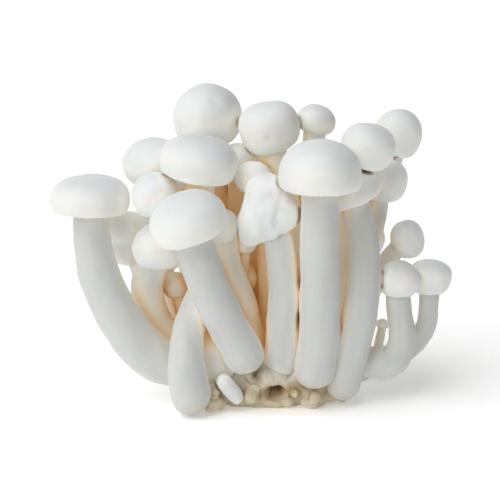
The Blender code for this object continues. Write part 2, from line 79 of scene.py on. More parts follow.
# Routes start at the foot and end at the middle of the cap's widest ring
FRONT_ROW = [
    Mushroom("far_left", SHOWN, (11.2, 10.6, 7.8), (19.3, 6.0, 2.5, 2.5), (0, 4), 14,
             [(-9.5, -4.5, 7), (-18, -9.5, 8.7), (-27.5, -13, 12), (-36.6, -13.5, 23),
              (-41.5, -13, 34), (-42.8, -12.5, 43), (-43.2, -12, 51.8)]),
    Mushroom("front_left", SHOWN, (9.6, 9.2, 8.2), (19.6, 7.2, 2.6, 2.2), (-17, 12), 14,
             [(-3.6, -16.2, 10.6), (-5.8, -19, 15.4), (-10.5, -22.8, 24.8), (-14, -25.5, 33.6),
              (-16.3, -27, 40.7), (-18.8, -28, 49.8)]),
    Mushroom("front_left_low", SHOWN, (9.4, 7.8, 6.4), (8.4, 3.4, 2.6, 2.2), (20, -15), 0,
             [(-16.4, -25, 1.3), (-18, -25.2, 5.2), (-19.2, -24.5, 12.3), (-19, -22.5, 19),
              (-17, -20, 24.6), (-15.4, -17.5, 29), (-14.6, -16, 33.6)]),
    Mushroom("front_center", SHOWN, (9.4, 9.2, 8.0), (20.4, 9.3, 2.6, 2.2), (0, 2), 14,
             [(11, -17.5, 6.2), (12, -19, 12), (13, -22, 20), (13.3, -24.5, 30), (13, -26, 45),
              (13.1, -27, 60.1)]),
    Mushroom("front_folded", SHOWN, (8.6, 7.3, 6.4), (10.4, 5.2, 4.6, 2.0), (-12, 10), 0,
             [(1.6, -15.5, 8.4), (2.6, -17.5, 13), (3.5, -19.5, 18), (4.5, -20.5, 24),
              (4.8, -21.5, 31.3), (3.7, -22, 41.3), (0, -21.5, 55.5)]),
    Mushroom("front_right", SHOWN, (8.0, 8.0, 6.6), (14.8, 5.2, 2.2, 2.2), (-20, 6), 12,
             [(17.9, -15.5, 2.4), (19, -16.5, 6.5), (21.2, -18, 15.5), (23.4, -18.5, 25.6),
              (24.4, -16.5, 35), (23.4, -14, 44.7), (21.2, -12.5, 54.8)]),
]
LEFT_ROW = [
    Mushroom("upper_left", SHOWN, (8.4, 7.2, 6.8), (18.6, 6.4, 3.6, 2.2), (8, 8), 12,
             [(-9.8, -13.8, 6.6), (-11.6, -14.3, 10.5), (-13.7, -14, 16.5), (-15, -11.5, 23.8),
              (-16, -9.5, 41.2), (-16.1, -12.5, 50.6), (-16.2, -17, 62.4)]),
    Mushroom("top_left", SHOWN, (6.0, 6.2, 6.0), (17.6, 8.3, 5.6, 2.0), (0, 4), 0,
             [(-3, 3.5, 9.5), (-8, 2, 34), (-13.2, 0, 56), (-14.2, -1, 71)]),
    Mushroom("left_back", CROWDED, (5.6, 5.6, 5.4), (14.8, 6.4, 4.0, 2.1), (-14, 6), 0,
             [(-7, 0, 8.5), (-14.5, 1.5, 31), (-22.6, -2, 46), (-27.6, -9, 58.9)]),
    Mushroom("left_upper", CROWDED, (5.6, 5.4, 5.0), (12.6, 5.6, 3.6, 2.1), (-16, 8), 0,
             [(-6.5, -5.5, 9), (-14, -3.5, 28), (-20.5, -1, 42), (-24.6, -6.5, 50),
              (-27, -13.5, 54.5)]),
    Mushroom("left_behind", CROWDED, (5.2, 5.2, 5.0), (12.9, 6.8, 5.2, 2.0), (-12, 0), 0,
             [(-12.5, 5, 5), (-26, 3, 16), (-29.5, 1.5, 26), (-33.9, 0, 41.3)]),
    Mushroom("left_lower", SHOWN, (6.6, 7.6, 6.8), (13.4, 6.0, 4.2, 2.1), (0, 6), 0,
             [(-11, -1, 7), (-22, -2.5, 12.5), (-28, -3.5, 20), (-29.5, -6, 29), (-26.1, -11, 40)]),
]
TOP_ROW = [
    Mushroom("front_small", CROWDED, (4.6, 5.6, 5.0), (8.4, 4.0, 3.4, 2.0), (0, 6), 0,
             [(-1.2, -11, 9.5), (-4, -13.5, 18), (-5.5, -13, 24.5), (-7.7, -12.5, 31),
              (-9.7, -13, 38), (-10.9, -16, 46.6)]),
    Mushroom("upper_behind", CROWDED, (4.6, 4.6, 4.4), (9.6, 5.2, 3.8, 2.0), (0, 4), 0,
             [(-1.5, 0, 10), (-4, -2, 32), (-7, -2, 50), (-8.3, -2, 59.4)]),
    Mushroom("center_behind", CROWDED, (4.4, 4.4, 4.2), (9.0, 4.6, 2.6, 2.1), (0, 4), 0,
             [(1, -5, 10), (1, -7, 30), (-0.2, -9, 47), (-0.5, -10, 57)]),
    Mushroom("top_center", SHOWN, (6.0, 6.4, 6.4), (14.8, 6.4, 5.0, 2.4), (-12, 4), 0,
             [(6, -9.5, 9), (7, -7.5, 30), (5, -7, 50), (2.2, -8, 61), (1.2, -8, 69.4)]),
    Mushroom("top_mid", SHOWN, (4.8, 4.8, 5.4), (10.0, 4.2, 2.6, 2.2), (12, 6), 0,
             [(4.5, -1, 9.5), (8, -1, 32), (11.6, -4, 60), (12.2, -4, 70.1)]),
]
RIGHT_ROW = [
    Mushroom("upper_right", SHOWN, (5.6, 6.0, 5.8), (13.8, 5.5, 4.2, 2.2), (20, 4), 0,
             [(11.5, -10, 8), (17, -6, 26), (19.6, -2.5, 43), (20, -3.6, 53), (23.2, -9.8, 61.5),
              (25.3, -16, 65.7)]),
    Mushroom("top_right", SHOWN, (5.2, 5.4, 5.2), (12.0, 5.8, 5.0, 2.0), (10, 0), 0,
             [(9, -0.5, 8.5), (18, 4, 28), (27, 7.5, 44), (31.3, 7.8, 55), (33.6, 1.5, 66.7)]),
    Mushroom("right", SHOWN, (5.2, 5.0, 4.4), (12.2, 6.0, 4.0, 2.3), (12, 0), 0,
             [(12, 1, 7.5), (21.5, 2, 23), (27, 0.5, 40), (29.5, -1.4, 54.8)]),
    Mushroom("right_small_high", SHOWN, (4.4, 4.4, 4.2), (8.6, 4.6, 3.8, 2.0), (-12, 0), 0,
             [(14.5, 1, 5), (22, -1, 16), (27.5, -3.5, 28.5), (31, -3.8, 35), (35.7, -4, 40.6)]),
    Mushroom("right_small", SHOWN, (5.6, 6.2, 5.2), (10.6, 4.6, 3.4, 2.1), (0, 4), 0,
             [(12.5, -6, 7), (21, -10, 9.3), (28.5, -12.5, 10), (33, -13, 12.2), (34.2, -13, 18.5),
              (33.5, -12.5, 25), (33.6, -12, 32.1)]),
    Mushroom("far_right", SHOWN, (4.8, 5.0, 4.4), (10.9, 3.6, 2.8, 2.4), (4, 4), 0,
             [(15, -2.5, 4.5), (25, -3.8, 6.5), (33, -4, 9.4), (37.6, -4, 12.8), (40.5, -5, 17.2),
              (41, -6.5, 23), (41.1, -8, 31.7)]),
]
GAP_ROW = [
    Mushroom("gap_small", CROWDED, (3.2, 3.0, 2.8), (5.6, 2.8, 2.0, 2.0), (0, 4), 0,
             [(1.5, -8.5, 10), (-1, -10.5, 26), (-5.5, -12, 41)]),
    Mushroom("gap_cap", CROWDED, (3.6, 3.4, 3.2), (6.6, 3.4, 2.6, 2.0), (0, 4), 0,
             [(-3, -4, 10), (-4, -3, 21), (-4.3, -3, 31.1)]),
    Mushroom("gap_left", CROWDED, (3.6, 3.4, 3.2), (6.6, 3.2, 2.6, 2.0), (-10, 0), 0,
             [(-11.5, 2.5, 6.5), (-19, 1, 16), (-22.8, 0, 27.8)]),
    Mushroom("finger", SHOWN, (3.0, 3.8, 3.4), (4.2, 2.2, 1.6, 2.0), (-40, 0), 0,
             [(-5, -17.6, 3.2), (-7.8, -20.4, 5.6), (-10.2, -21.6, 8.4)]),
]
BACK_ROW = [
    Mushroom("back_high_left", CROWDED, (5.4, 5.4, 5.2), (15.0, 6.4, 3.4, 2.1), (-8, -10), 12,
             [(-7, 6, 8), (-13, 8, 30), (-18, 10, 54)]),
    Mushroom("back_high_center", CROWDED, (5.6, 5.4, 5.2), (16.0, 6.6, 3.4, 2.1), (0, -8), 12,
             [(0.5, 5.5, 9), (-0.5, 7, 32), (-1, 9, 56)]),
    Mushroom("back_high_right", CROWDED, (5.6, 5.4, 5.2), (15.4, 6.4, 3.2, 2.2), (8, -8), 12,
             [(5.5, 4, 9), (11, 7, 32), (16, 10, 55)]),
    Mushroom("back_left", CROWDED, (6.4, 6.6, 6.0), (16.4, 6.0, 2.8, 2.3), (-10, -16), 12,
             [(-9.5, 10, 6), (-17, 16.5, 22), (-22, 20, 41)]),
    Mushroom("back_center", CROWDED, (7.2, 7.0, 6.4), (18.2, 6.8, 3.0, 2.2), (-4, -16), 12,
             [(-3.5, 11, 7), (-5.5, 19, 26), (-5.5, 25, 46)]),
    Mushroom("back_right", CROWDED, (6.8, 6.8, 6.2), (16.8, 6.4, 3.0, 2.2), (8, -16), 12,
             [(5.5, 10.5, 7), (11, 18, 25), (14, 23, 44)]),
    Mushroom("back_low_right", CROWDED, (5.2, 5.4, 5.0), (13.0, 5.6, 3.4, 2.1), (16, -12), 0,
             [(11.5, 7.5, 5), (20, 12.5, 19), (25, 16.8, 36.5)]),
    Mushroom("back_low_left", CROWDED, (4.4, 4.4, 4.2), (10.6, 4.8, 3.2, 2.0), (-14, -10), 0,
             [(-12.5, 7.5, 4), (-22, 10.5, 17), (-27, 11, 32)]),
    Mushroom("back_low_center", CROWDED, (4.8, 5.0, 4.6), (12.4, 5.4, 3.6, 2.0), (4, -20), 0,
             [(1.5, 14, 4.5), (3.5, 23, 15), (5, 29, 29)]),
    Mushroom("back_button", CROWDED, (4.0, 4.0, 3.8), (8.8, 4.2, 3.4, 2.0), (-6, -18), 0,
             [(-5, 14.5, 3.6), (-9, 23, 12), (-11.5, 27.5, 23)]),
]
MUSHROOMS = FRONT_ROW + LEFT_ROW + TOP_ROW + RIGHT_ROW + GAP_ROW + BACK_ROW

# A tiny mushroom that sprouts from a bigger one's foot, and grew into one piece with it
SPROUTS = {
    "far_right": Mushroom("sprout", SHOWN, (1.8, 1.7, 1.6), (3.4, 1.4, 0.8, 2.0), (14, 0), 0,
                          [(27.8, -3.7, 8.0), (28.8, -5.5, 13.0), (29.7, -7.0, 19.0)]),
}

# Lobes that the growth rule counts beside a cap: across, depth, height and radius
EXTRA_LOBES = {
    "front_folded": [(-2.0, -1.5, -7.0, 5.0), (4.4, -1.2, -4.8, 4.6)],
    "left_behind": [(-1.0, 0.5, -4.0, 5.0)],
}

# Caps that grew into melted lobes: across, depth and height from the cap's middle, and radius
LOBES = {
    "front_folded": [(0, 0, 0, 5.2), (-1.0, -0.8, -3.6, 4.9), (-2.0, -1.5, -7.0, 5.0),
                     (-3.6, -1.5, -10.2, 3.1), (1.3, -1.3, -7.2, 4.5), (2.8, -0.8, -2.6, 4.4),
                     (4.4, -1.2, -4.8, 4.6), (0.8, -1.2, -3.6, 5.0)],
    "left_behind": [(-2.6, 0, 1.4, 4.6), (2.2, 0, 0.6, 4.4), (-1.0, 0.5, -4.0, 5.0), (0, 0.3, -1.2, 5.2),
                    (0.3, 2.6, 1.0, 4.0), (-0.5, -2.2, 0.6, 4.0)],
}
# Young mushrooms without a cap yet: the foot's place from the tip, and radius at the foot and at the tip
FINGERS = {"finger": ((3.1, 2.5, -4.7), 2.1, 2.2)}
FINGER_STEPS = 12

# The growth rule: balls stand for each stem's rings and for its cap, and push each other apart
PUSH_ROUNDS, PUSH_RINGS = 160, 11
# How often a push is shared with the rings beside it
PUSH_SHARED = 3
# Balls round a cap's widest ring, their radius as part of the cap's height, how far they are below
# its middle, in radii, and how hard a cap pushes
CAP_BALLS, CAP_BALL_SIZE, CAP_BALL_LOW, CAP_PUSH = 9, 0.43, 0.2, 1.5
# The gap that they keep, and how much further apart two of them may start and still meet
PUSH_GAP, PUSH_SEARCH = 1.5 * GAP, 14


def smooth_line(points, places):
    """Points at the given places, 0 to 1, on a smooth curve through the route's points."""
    route = numpy.array(points, float)
    knots = numpy.zeros(len(route))
    for i in range(1, len(route)):
        knots[i] = knots[i - 1] + math.dist(route[i], route[i - 1])
    slopes = (route[1:] - route[:-1]) / numpy.diff(knots)[:, None]
    tangents = numpy.vstack([slopes[:1], (slopes[1:] + slopes[:-1]) / 2, slopes[-1:]])
    line = []
    for place in places:
        along = place * knots[-1]
        i = min(int(numpy.searchsorted(knots, along, side="right")) - 1, len(route) - 2)
        span = knots[i + 1] - knots[i]
        t = (along - knots[i]) / span
        line.append((2 * t**3 - 3 * t**2 + 1) * route[i] + (t**3 - 2 * t**2 + t) * span * tangents[i]
                    + (3 * t**2 - 2 * t**3) * route[i + 1] + (t**3 - t**2) * span * tangents[i + 1])
    return numpy.array(line)


def stem_radius(stem, t):
    """A stem's radius at a place, 0 to 1, from its diameters at the foot, middle and neck."""
    foot, middle, neck = stem
    return (foot * (1 - t) * (1 - 2 * t) + 4 * middle * t * (1 - t) + neck * t * (2 * t - 1)) / 2


def cap_turn(lean):
    """The turn that points a cap's top where it leans."""
    right, front = (math.radians(angle) for angle in lean)
    top = Vector((math.sin(right), -math.sin(front), math.cos(right) * math.cos(front)))
    return Vector((0, 0, 1)).rotation_difference(top)


def cap_balls(mushroom):
    """Balls that fill a cap, as offsets from its middle, with their radii."""
    width, dome, lip, _ = mushroom.cap
    turn = cap_turn(mushroom.lean)
    ball = CAP_BALL_SIZE * (dome + lip)
    ring = width / 2 - ball
    middle = (dome - lip) / 2
    offsets = [turn @ Vector((0, 0, middle))]
    for i in range(CAP_BALLS):
        angle = TURN * i / CAP_BALLS
        low = middle - CAP_BALL_LOW * ball
        offsets.append(turn @ Vector((ring * math.cos(angle), ring * math.sin(angle), low)))
    radii = [ball] * len(offsets)
    for x, y, z, radius in EXTRA_LOBES.get(mushroom.name, ()):
        offsets.append(Vector((x, y, z)))
        radii.append(radius)
    return offsets, radii


def spread_push(moves):
    """The pushes on a stem's rings, shared with the rings beside them."""
    for _ in range(PUSH_SHARED):
        inner = (moves[:-2] + 2 * moves[1:-1] + moves[2:]) / 4
        foot = (2 * moves[:1] + moves[1:2]) / 3
        neck = (2 * moves[-1:] + moves[-2:-1]) / 3
        moves = numpy.concatenate([foot, inner, neck])
    return moves


def ball_centres(lines, caps):
    """The middles of all the balls that stand for the stems' rings and the caps."""
    return numpy.concatenate([part for line, cap in zip(lines, caps) for part in (line, line[-1] + cap)])


def push_apart(mushrooms):
    """The mushrooms' stem lines, with every two that would meet pushed apart, as they grow."""
    places = [i / (PUSH_RINGS - 1) for i in range(PUSH_RINGS)]
    lines = [smooth_line(mushroom.route, places) for mushroom in mushrooms]
    caps = []
    sizes = []
    owners = []
    for number, mushroom in enumerate(mushrooms):
        offsets, radii = cap_balls(mushroom)
        caps.append(numpy.array([tuple(offset) for offset in offsets]))
        sizes += [stem_radius(mushroom.stem, t) for t in places] + radii
        owners += [number] * (PUSH_RINGS + len(radii))
    sizes = numpy.array(sizes)
    owners = numpy.array(owners)
    centres = ball_centres(lines, caps)
    away = centres[:, None, :] - centres[None, :, :]
    reach = sizes[:, None] + sizes[None, :] + PUSH_GAP
    could_meet = (away * away).sum(axis=2) < (reach + PUSH_SEARCH) ** 2
    one, other = numpy.nonzero((owners[:, None] != owners[None, :]) & could_meet)
    reach = reach[one, other]
    for _ in range(PUSH_ROUNDS):
        centres = ball_centres(lines, caps)
        away = centres[one] - centres[other]
        distance = numpy.sqrt((away * away).sum(axis=1)) + 1e-9
        depth = numpy.maximum(reach - distance, 0.0)
        touching = numpy.maximum(numpy.bincount(one, depth > 0, len(owners)), 1)
        push = numpy.stack([numpy.bincount(one, away[:, i] * depth / distance, len(owners)) / touching
                            for i in range(3)], axis=1)
        for number, line in enumerate(lines):
            own = push[owners == number]
            moves, cap_moves = own[:PUSH_RINGS], own[PUSH_RINGS:]
            pushed = numpy.abs(cap_moves).sum(axis=1) > 0
            if pushed.any():
                moves[-1] += cap_moves[pushed].mean(axis=0) * CAP_PUSH
            line += spread_push(moves) * numpy.array(mushrooms[number].gives)
    return dict(zip((mushroom.name for mushroom in mushrooms), lines))


def arithmetic(operation):
    """Two methods of Wire that add the node for one of Python's operators: plain and reflected."""
    return (lambda self, other: self.tree.calculate(operation, self, other),
            lambda self, other: self.tree.calculate(operation, other, self))


class Wire:
    """An output of a node. Arithmetic on it adds the nodes that work the result out."""
    __add__, __radd__ = arithmetic("ADD")
    __sub__, __rsub__ = arithmetic("SUBTRACT")
    __mul__, __rmul__ = arithmetic("MULTIPLY")
    __truediv__, __rtruediv__ = arithmetic("DIVIDE")
    __pow__, __rpow__ = arithmetic("POWER")

    def __init__(self, tree, socket):
        self.tree = tree
        self.socket = socket

    def output(self, name):
        """Another output of the same node."""
        return Wire(self.tree, self.socket.node.outputs[name])


class Tree:
    """A node tree while it is being built, for a material or for a modifier."""

    def __init__(self, tree):
        self.tree = tree

    def add(self, kind, values=None, **settings):
        """A new node, as its first output: its settings first, then its sockets' values or wires.

        Stops are the points of a curve, its two ends first.
        """
        node = self.tree.nodes.new(kind)
        stops = settings.pop("stops", ())
        for name, setting in settings.items():
            setattr(node, name, setting)
        for i, place in enumerate(stops):
            points = node.mapping.curves[0].points
            if i < len(points):
                points[i].location = place
            else:
                points.new(*place)
            node.mapping.update()
        for key, value in (values or {}).items():
            socket = node.inputs[key] if isinstance(key, int) else next(
                socket for socket in node.inputs if socket.enabled and socket.name == key)
            if isinstance(value, Wire):
                self.tree.links.new(value.socket, socket)
            elif socket.type in ("VECTOR", "RGBA") and isinstance(value, (int, float)):
                socket.default_value = (value,) * len(socket.default_value)
            elif socket.type == "RGBA" and len(value) == 3:
                socket.default_value = (*value, 1.0)
            else:
                socket.default_value = value
        return Wire(self, next((socket for socket in node.outputs if socket.enabled), None)
                    or node.outputs[0]) if node.outputs else node

    def calculate(self, operation, *values):
        """A Math node, or a Vector Math node where one of the values is a vector."""
        vector = any(isinstance(value, tuple) or isinstance(value, Wire) and value.socket.type == "VECTOR"
                     for value in values)
        kind = "ShaderNodeVectorMath" if vector else "ShaderNodeMath"
        return self.add(kind, dict(enumerate(values)), operation=operation)

    def vector(self, x, y, z):
        """A vector of three numbers."""
        return self.add("ShaderNodeCombineXYZ", {"X": x, "Y": y, "Z": z})

    def parts(self, vector):
        """A vector's three numbers."""
        split = self.add("ShaderNodeSeparateXYZ", {"Vector": vector})
        return split.output("X"), split.output("Y"), split.output("Z")

    def noise(self, spot, size, detail=1.0, roughness=0.5):
        """Smooth noise from -1 to 1 with lumps of about the given size."""
        noise = self.add("ShaderNodeTexNoise", {"Vector": spot * (1 / size), "Scale": 1.0,
                                                "Detail": detail, "Roughness": roughness})
        return noise * 2.0 - 1.0

    def bumps(self, spot, size, height, detail=1.0):
        """Smooth noise as a relief of the given height, with lumps of about the given size."""
        return self.noise(spot, size, detail) * height

    def fade(self, value, start, end):
        """0 where the value is at start, 1 where it is at end, and smooth between."""
        return self.add("ShaderNodeMapRange", {"Value": value, "From Min": start, "From Max": end},
                        interpolation_type="SMOOTHSTEP")

    def blend(self, share, low, high):
        """A colour between two, by a share from 0 to 1."""
        return self.add("ShaderNodeMix", {"Factor": share, "A": low, "B": high}, data_type="RGBA")

    def curve(self, value, points):
        """A value read off a smooth curve through points."""
        return self.add("ShaderNodeFloatCurve", {"Value": value}, stops=points)


class FinishTree(Tree):
    """A material's tree."""

    def __init__(self, name):
        self.material = bpy.data.materials.new(name)
        self.material.use_nodes = True
        super().__init__(self.material.node_tree)
        self.tree.nodes.clear()

    def attribute(self, name, output="Fac"):
        """A value that the growth trees left on the surface."""
        return self.add("ShaderNodeAttribute", attribute_name=name).output(output)

    def layers(self, colour, *tints):
        """A colour with others laid over it in turn, each by a share from 0 to 1."""
        for share, tint in tints:
            colour = self.blend(share, colour, tuple(tint))
        return colour

    def finish(self, values, relief, relief_scale, softness):
        """Ends the tree: one surface, its relief, and how deep light goes into it."""
        normal = self.add("ShaderNodeBump", {"Height": relief, "Distance": relief_scale, "Strength": 1.0})
        surface = self.add("ShaderNodeBsdfPrincipled", {
            **values, "Normal": normal, "IOR": 1.4, "Subsurface Weight": softness,
            "Subsurface Radius": GLOW, "Subsurface Scale": GLOW_DEPTH})
        self.add("ShaderNodeOutputMaterial", {"Surface": surface})
        return self.material


class GrowthTree(Tree):
    """A Geometry Nodes tree, with named inputs and one mesh as its result."""

    def __init__(self, name):
        super().__init__(bpy.data.node_groups.new(name, "GeometryNodeTree"))
        self.sockets = {}
        self.input_node = self.tree.nodes.new("NodeGroupInput")

    def input(self, name, kind, default=None):
        """A named input of the tree."""
        socket = self.tree.interface.new_socket(name, in_out="INPUT", socket_type="NodeSocket" + kind)
        if default is not None:
            socket.default_value = default
        self.sockets[name] = socket.identifier
        return Wire(self, self.input_node.outputs[name])

    def capture(self, geometry, value):
        """The geometry with a value kept on its points, and that value."""
        node = self.tree.nodes.new("GeometryNodeCaptureAttribute")
        node.capture_items.new("VECTOR" if value.socket.type == "VECTOR" else "FLOAT", "kept")
        self.tree.links.new(geometry.socket, node.inputs["Geometry"])
        self.tree.links.new(value.socket, node.inputs["kept"])
        return Wire(self, node.outputs["Geometry"]), Wire(self, node.outputs["kept"])

    def store(self, geometry, name, value):
        """The geometry with a value kept under a name that materials can read."""
        kind = "FLOAT_VECTOR" if isinstance(value, Wire) and value.socket.type == "VECTOR" else "FLOAT"
        return self.add("GeometryNodeStoreNamedAttribute",
                        {"Geometry": geometry, "Name": name, "Value": value}, data_type=kind, domain="POINT")

    def position(self):
        """Where a point is."""
        return self.add("GeometryNodeInputPosition")

    def other(self, name):
        """The mesh of another object, which is a named input of the tree."""
        return self.add("GeometryNodeObjectInfo", {"Object": self.input(name, "Object")}).output("Geometry")

    def gather(self, kind, socket, geometries, values=None, **settings):
        """A node that takes several geometries in one socket."""
        result = self.add(kind, values, **settings)
        for geometry in geometries:
            self.tree.links.new(geometry.socket, result.socket.node.inputs[socket])
        return result

    def join(self, *geometries):
        """Geometries side by side in one."""
        return self.gather("GeometryNodeJoinGeometry", "Geometry", geometries)

    def union(self, *meshes):
        """Closed meshes fused into one skin."""
        return self.gather("GeometryNodeMeshBoolean", "Mesh 2", meshes, operation="UNION", solver="MANIFOLD")

    def difference(self, mesh, *cutters):
        """A closed mesh with others cut out of it."""
        return self.gather("GeometryNodeMeshBoolean", "Mesh 2", cutters, {"Mesh 1": mesh},
                           operation="DIFFERENCE", solver="MANIFOLD")

    def realize(self, instances):
        """Instances made plain geometry."""
        return self.add("GeometryNodeRealizeInstances", {"Geometry": instances})

    def even(self, value, rounds):
        """A value evened out with that of the points beside it, so many times over."""
        kind = "FLOAT_VECTOR" if value.socket.type == "VECTOR" else "FLOAT"
        return self.add("GeometryNodeBlurAttribute", {"Value": value, "Iterations": rounds}, data_type=kind)

    def raise_skin(self, geometry, relief):
        """The geometry with its points moved outwards by a height."""
        return self.move(geometry, offset=self.add("GeometryNodeInputNormal") * relief)

    def move(self, geometry, offset=None, place=None):
        """The geometry with its points moved by an offset or to a place."""
        moved = {"Position": place} if offset is None else {"Offset": offset}
        return self.add("GeometryNodeSetPosition", {"Geometry": geometry, **moved})

    def finish(self, geometry, material):
        """Ends the tree: plain geometry, in one material."""
        self.tree.interface.new_socket("Mesh", in_out="OUTPUT", socket_type="NodeSocketGeometry")
        painted = self.add("GeometryNodeSetMaterial",
                           {"Geometry": self.realize(geometry), "Material": material})
        self.add("NodeGroupOutput", {"Mesh": painted})

    def grow(self, seed, name, **inputs):
        """A plain mesh object: what the tree makes of an object that only starts it."""
        bpy.context.scene.collection.objects.link(seed)
        modifier = seed.modifiers.new("grow", "NODES")
        modifier.node_group = self.tree
        for key, value in inputs.items():
            modifier[self.sockets[key.capitalize()]] = value
        graph = bpy.context.evaluated_depsgraph_get()
        mesh = bpy.data.meshes.new_from_object(seed.evaluated_get(graph),
                                               preserve_all_data_layers=True, depsgraph=graph)
        bpy.data.objects.remove(seed)
        grown = bpy.data.objects.new(name, mesh)
        bpy.context.scene.collection.objects.link(grown)
        return grown


# Half of a cap's outline below its widest ring: part of the half width, and part of the lip's depth
UNDER_RADIUS = ((0.0, 1.0), (1.0, 0.0), (0.2, 0.978), (0.4, 0.905), (0.55, 0.80), (0.75, 0.52))
UNDER_DEPTH = ((0.0, 0.0), (1.0, 0.45), (0.2, 0.60), (0.4, 0.96), (0.55, 0.97), (0.75, 0.72))
# The same for a young cap that is still closed round its stem
CLOSED_RADIUS = ((0.0, 1.0), (1.0, 0.0), (0.2, 0.965), (0.4, 0.86), (0.6, 0.68), (0.8, 0.40))
CLOSED_DEPTH = ((0.0, 0.0), (1.0, 0.98), (0.2, 0.34), (0.4, 0.63), (0.6, 0.85), (0.8, 0.96))
# How much deeper than its solid a closed cap reaches
CLOSED_LIP = 1.3
DEEPER_LIPS = {"far_right": 1.8, "top_mid": 1.1, "right_small_high": 1.35}
# How far a cap is out of round: oval, three-lobed, and rippled at the margin
OVAL, WAVE, RIPPLE = 0.025, 0.015, 0.04
# Shallow lumps of a cap: how many across it, their height as part of its width, and how far apart
# two caps may be in the pattern
CAP_LUMPS, CAP_LUMP_HEIGHT, CAP_SHIFT = 2.4, 0.035, 9 * MM

# Gills: the line they hang from, part of the half width to part of the lip's depth
GILL_LINE = ((0.0, 0.45), (1.0, 1.0), (0.52, 0.72), (0.8, 0.97))
# Where they start, as part of the neck's radius, and where they end, as part of the half width
GILL_START, GILL_END = 0.85, 0.84
# How far they hang down and how far they are sunk into the cap, and how thick they are
GILL_DEPTH, GILL_SUNK, GILL_THICK = 0.75 * MM, 0.35 * MM, 0.24 * MM
# How far out the short ones between them start, as part of the way to the margin
SHORT_GILL = 0.5

# Lobes: how finely they are melted together, in metres and rounds
LOBE_GRAIN = 0.28 * MM
LOBE_MELT = 40

# Knobs on the base: name, gap between them, smallest and largest radius, how far they stick out
BASE_GROWTHS = (
    ("Knob", 4.6 * MM, 1.4 * MM, 2.5 * MM, 0.6),
    ("Bud", 5.6 * MM, 0.5 * MM, 0.8 * MM, 1.5),
)
# Most of them on a square metre, and the height above the table where they start
GROWTH_DENSITY, GROWTH_LOW = 400000.0, 0.6 * MM
# The block under the knobs: its middle, its half sizes and its lobes' places and radii
BASE_CENTRE = (0, 0, 2)
BASE_HALF = (17, 18, 10)
BASE_LOBES = (
    (-12.5, -15, 4.4, 4.6), (-14.2, -19.6, 3.6, 3.6), (-3.2, -14.6, 6.4, 4.6), (4, -14.2, 4.8, 5),
    (12, -14, 3.4, 4.6), (16, -11.5, 4.6, 5), (17, -4, 3.8, 4.4), (15.5, 5, 3.4, 4.6), (8, 14, 3.4, 4.8),
    (-2, 16.5, 3.2, 4.4), (-10, 13, 3.4, 4.6), (-16, 5, 3.6, 4.6), (-16.5, -5, 4.2, 4.6),
    (-3.8, -18.3, 7.2, 1.2), (6.6, -19, 4.4, 1.3), (12, -18.2, 3.6, 1.9),
    (1.8, -15.6, 7.2, 5.3), (6.8, -15.2, 6.0, 4.2), (-6.6, -15.4, 6.2, 3.8), (-1.6, -14.4, 8.6, 3.2),
)
# Hollows under it, where it stands clear of the table: place and radius
BASE_HOLLOWS = ((2.2, -21.0, -0.6, 3.2), (-7.5, -22.0, -0.4, 2.6), (17.5, -13.0, -0.6, 2.0),
                (9, 19, -0.8, 2.6), (-18, 9, -0.6, 2.4))
# The block that cuts the base flat: its size, and how often its faces are cut
CUT_SIZE, CUT_FACES = 60, 49
# Buds on its front: across, height and radius, and how far their middles are sunk, in radii
FRONT_BUDS = ((-3.9, 8.6, 1.6), (-2.8, 10.6, 1.3), (-2.4, 6.4, 2.6), (-3.6, 3.6, 2.7), (-5.4, 2.0, 1.7),
              (7.3, 4.3, 1.3), (12.3, 3.5, 1.9), (10.0, 1.8, 1.6), (14.4, 5.6, 1.6), (5.6, 1.6, 1.8),
              (3.0, 1.5, 1.6), (-13.1, 3.2, 2.6), (-11.2, 2.0, 1.8), (-8.6, 4.6, 1.8), (-13.6, 6.6, 1.7))
BUD_SINK = 0.2
# Where the rays that find the base's front start, and how finely its balls are divided
IN_FRONT, BALL_CUTS = -60, 3
# How finely the base is melted together, in metres, layers and rounds
BASE_GRAIN, BASE_BAND, BASE_MELT = 0.27 * MM, 6, 9

# The hole in the base's front, the wrinkles that fan up from it, and the ring round a nub beside it
HOLE = (2.4, 4.5)
FAN = [[HOLE, (x, 9.0)] for x in (-1.2, 0.6, 2.6, 4.6, 6.2)]
NUB, NUB_RING = (7.3, 4.3), 1.6
RING = [(NUB[0] + NUB_RING * math.cos(angle), NUB[1] + NUB_RING * math.sin(angle)) for angle in range(7)]
# Creases and brown stains on the base's front
CREASES = (
    [(-2.2, 12.1), (-2.6, 9.8), (-1.9, 7.8), (-0.9, 7.2)], [(5.6, 9.3), (7.8, 12.3)],
    [(-5.0, 7.9), (-3.8, 7.1), (-2.4, 7.4), (-1.2, 6.4)], [(0.2, 2.6), (2.6, 2.2), (5.2, 2.9)],
    [(7.2, 6.5), (9.0, 5.7), (11.2, 5.8)], [(16.4, 8.8), (14.2, 6.0)],
    [(-14.3, 4.4), (-12.0, 4.0), (-9.9, 4.6)], [(-16.0, 11.8), (-15.5, 7.3)],
    [(11.0, 4.8), (10.6, 2.6)], [(-0.9, 5.4), (-1.2, 2.8)],
)
STAINS = (
    [(8.0, 6.6), (11.4, 6.2)], [(15.9, 9.2), (14.8, 4.2)], [(-15.6, 8.5), (-15.0, 5.6)],
    [(-2.4, 11.0), (-2.0, 8.4)], [(4.9, 4.4), (6.2, 5.6)],
)
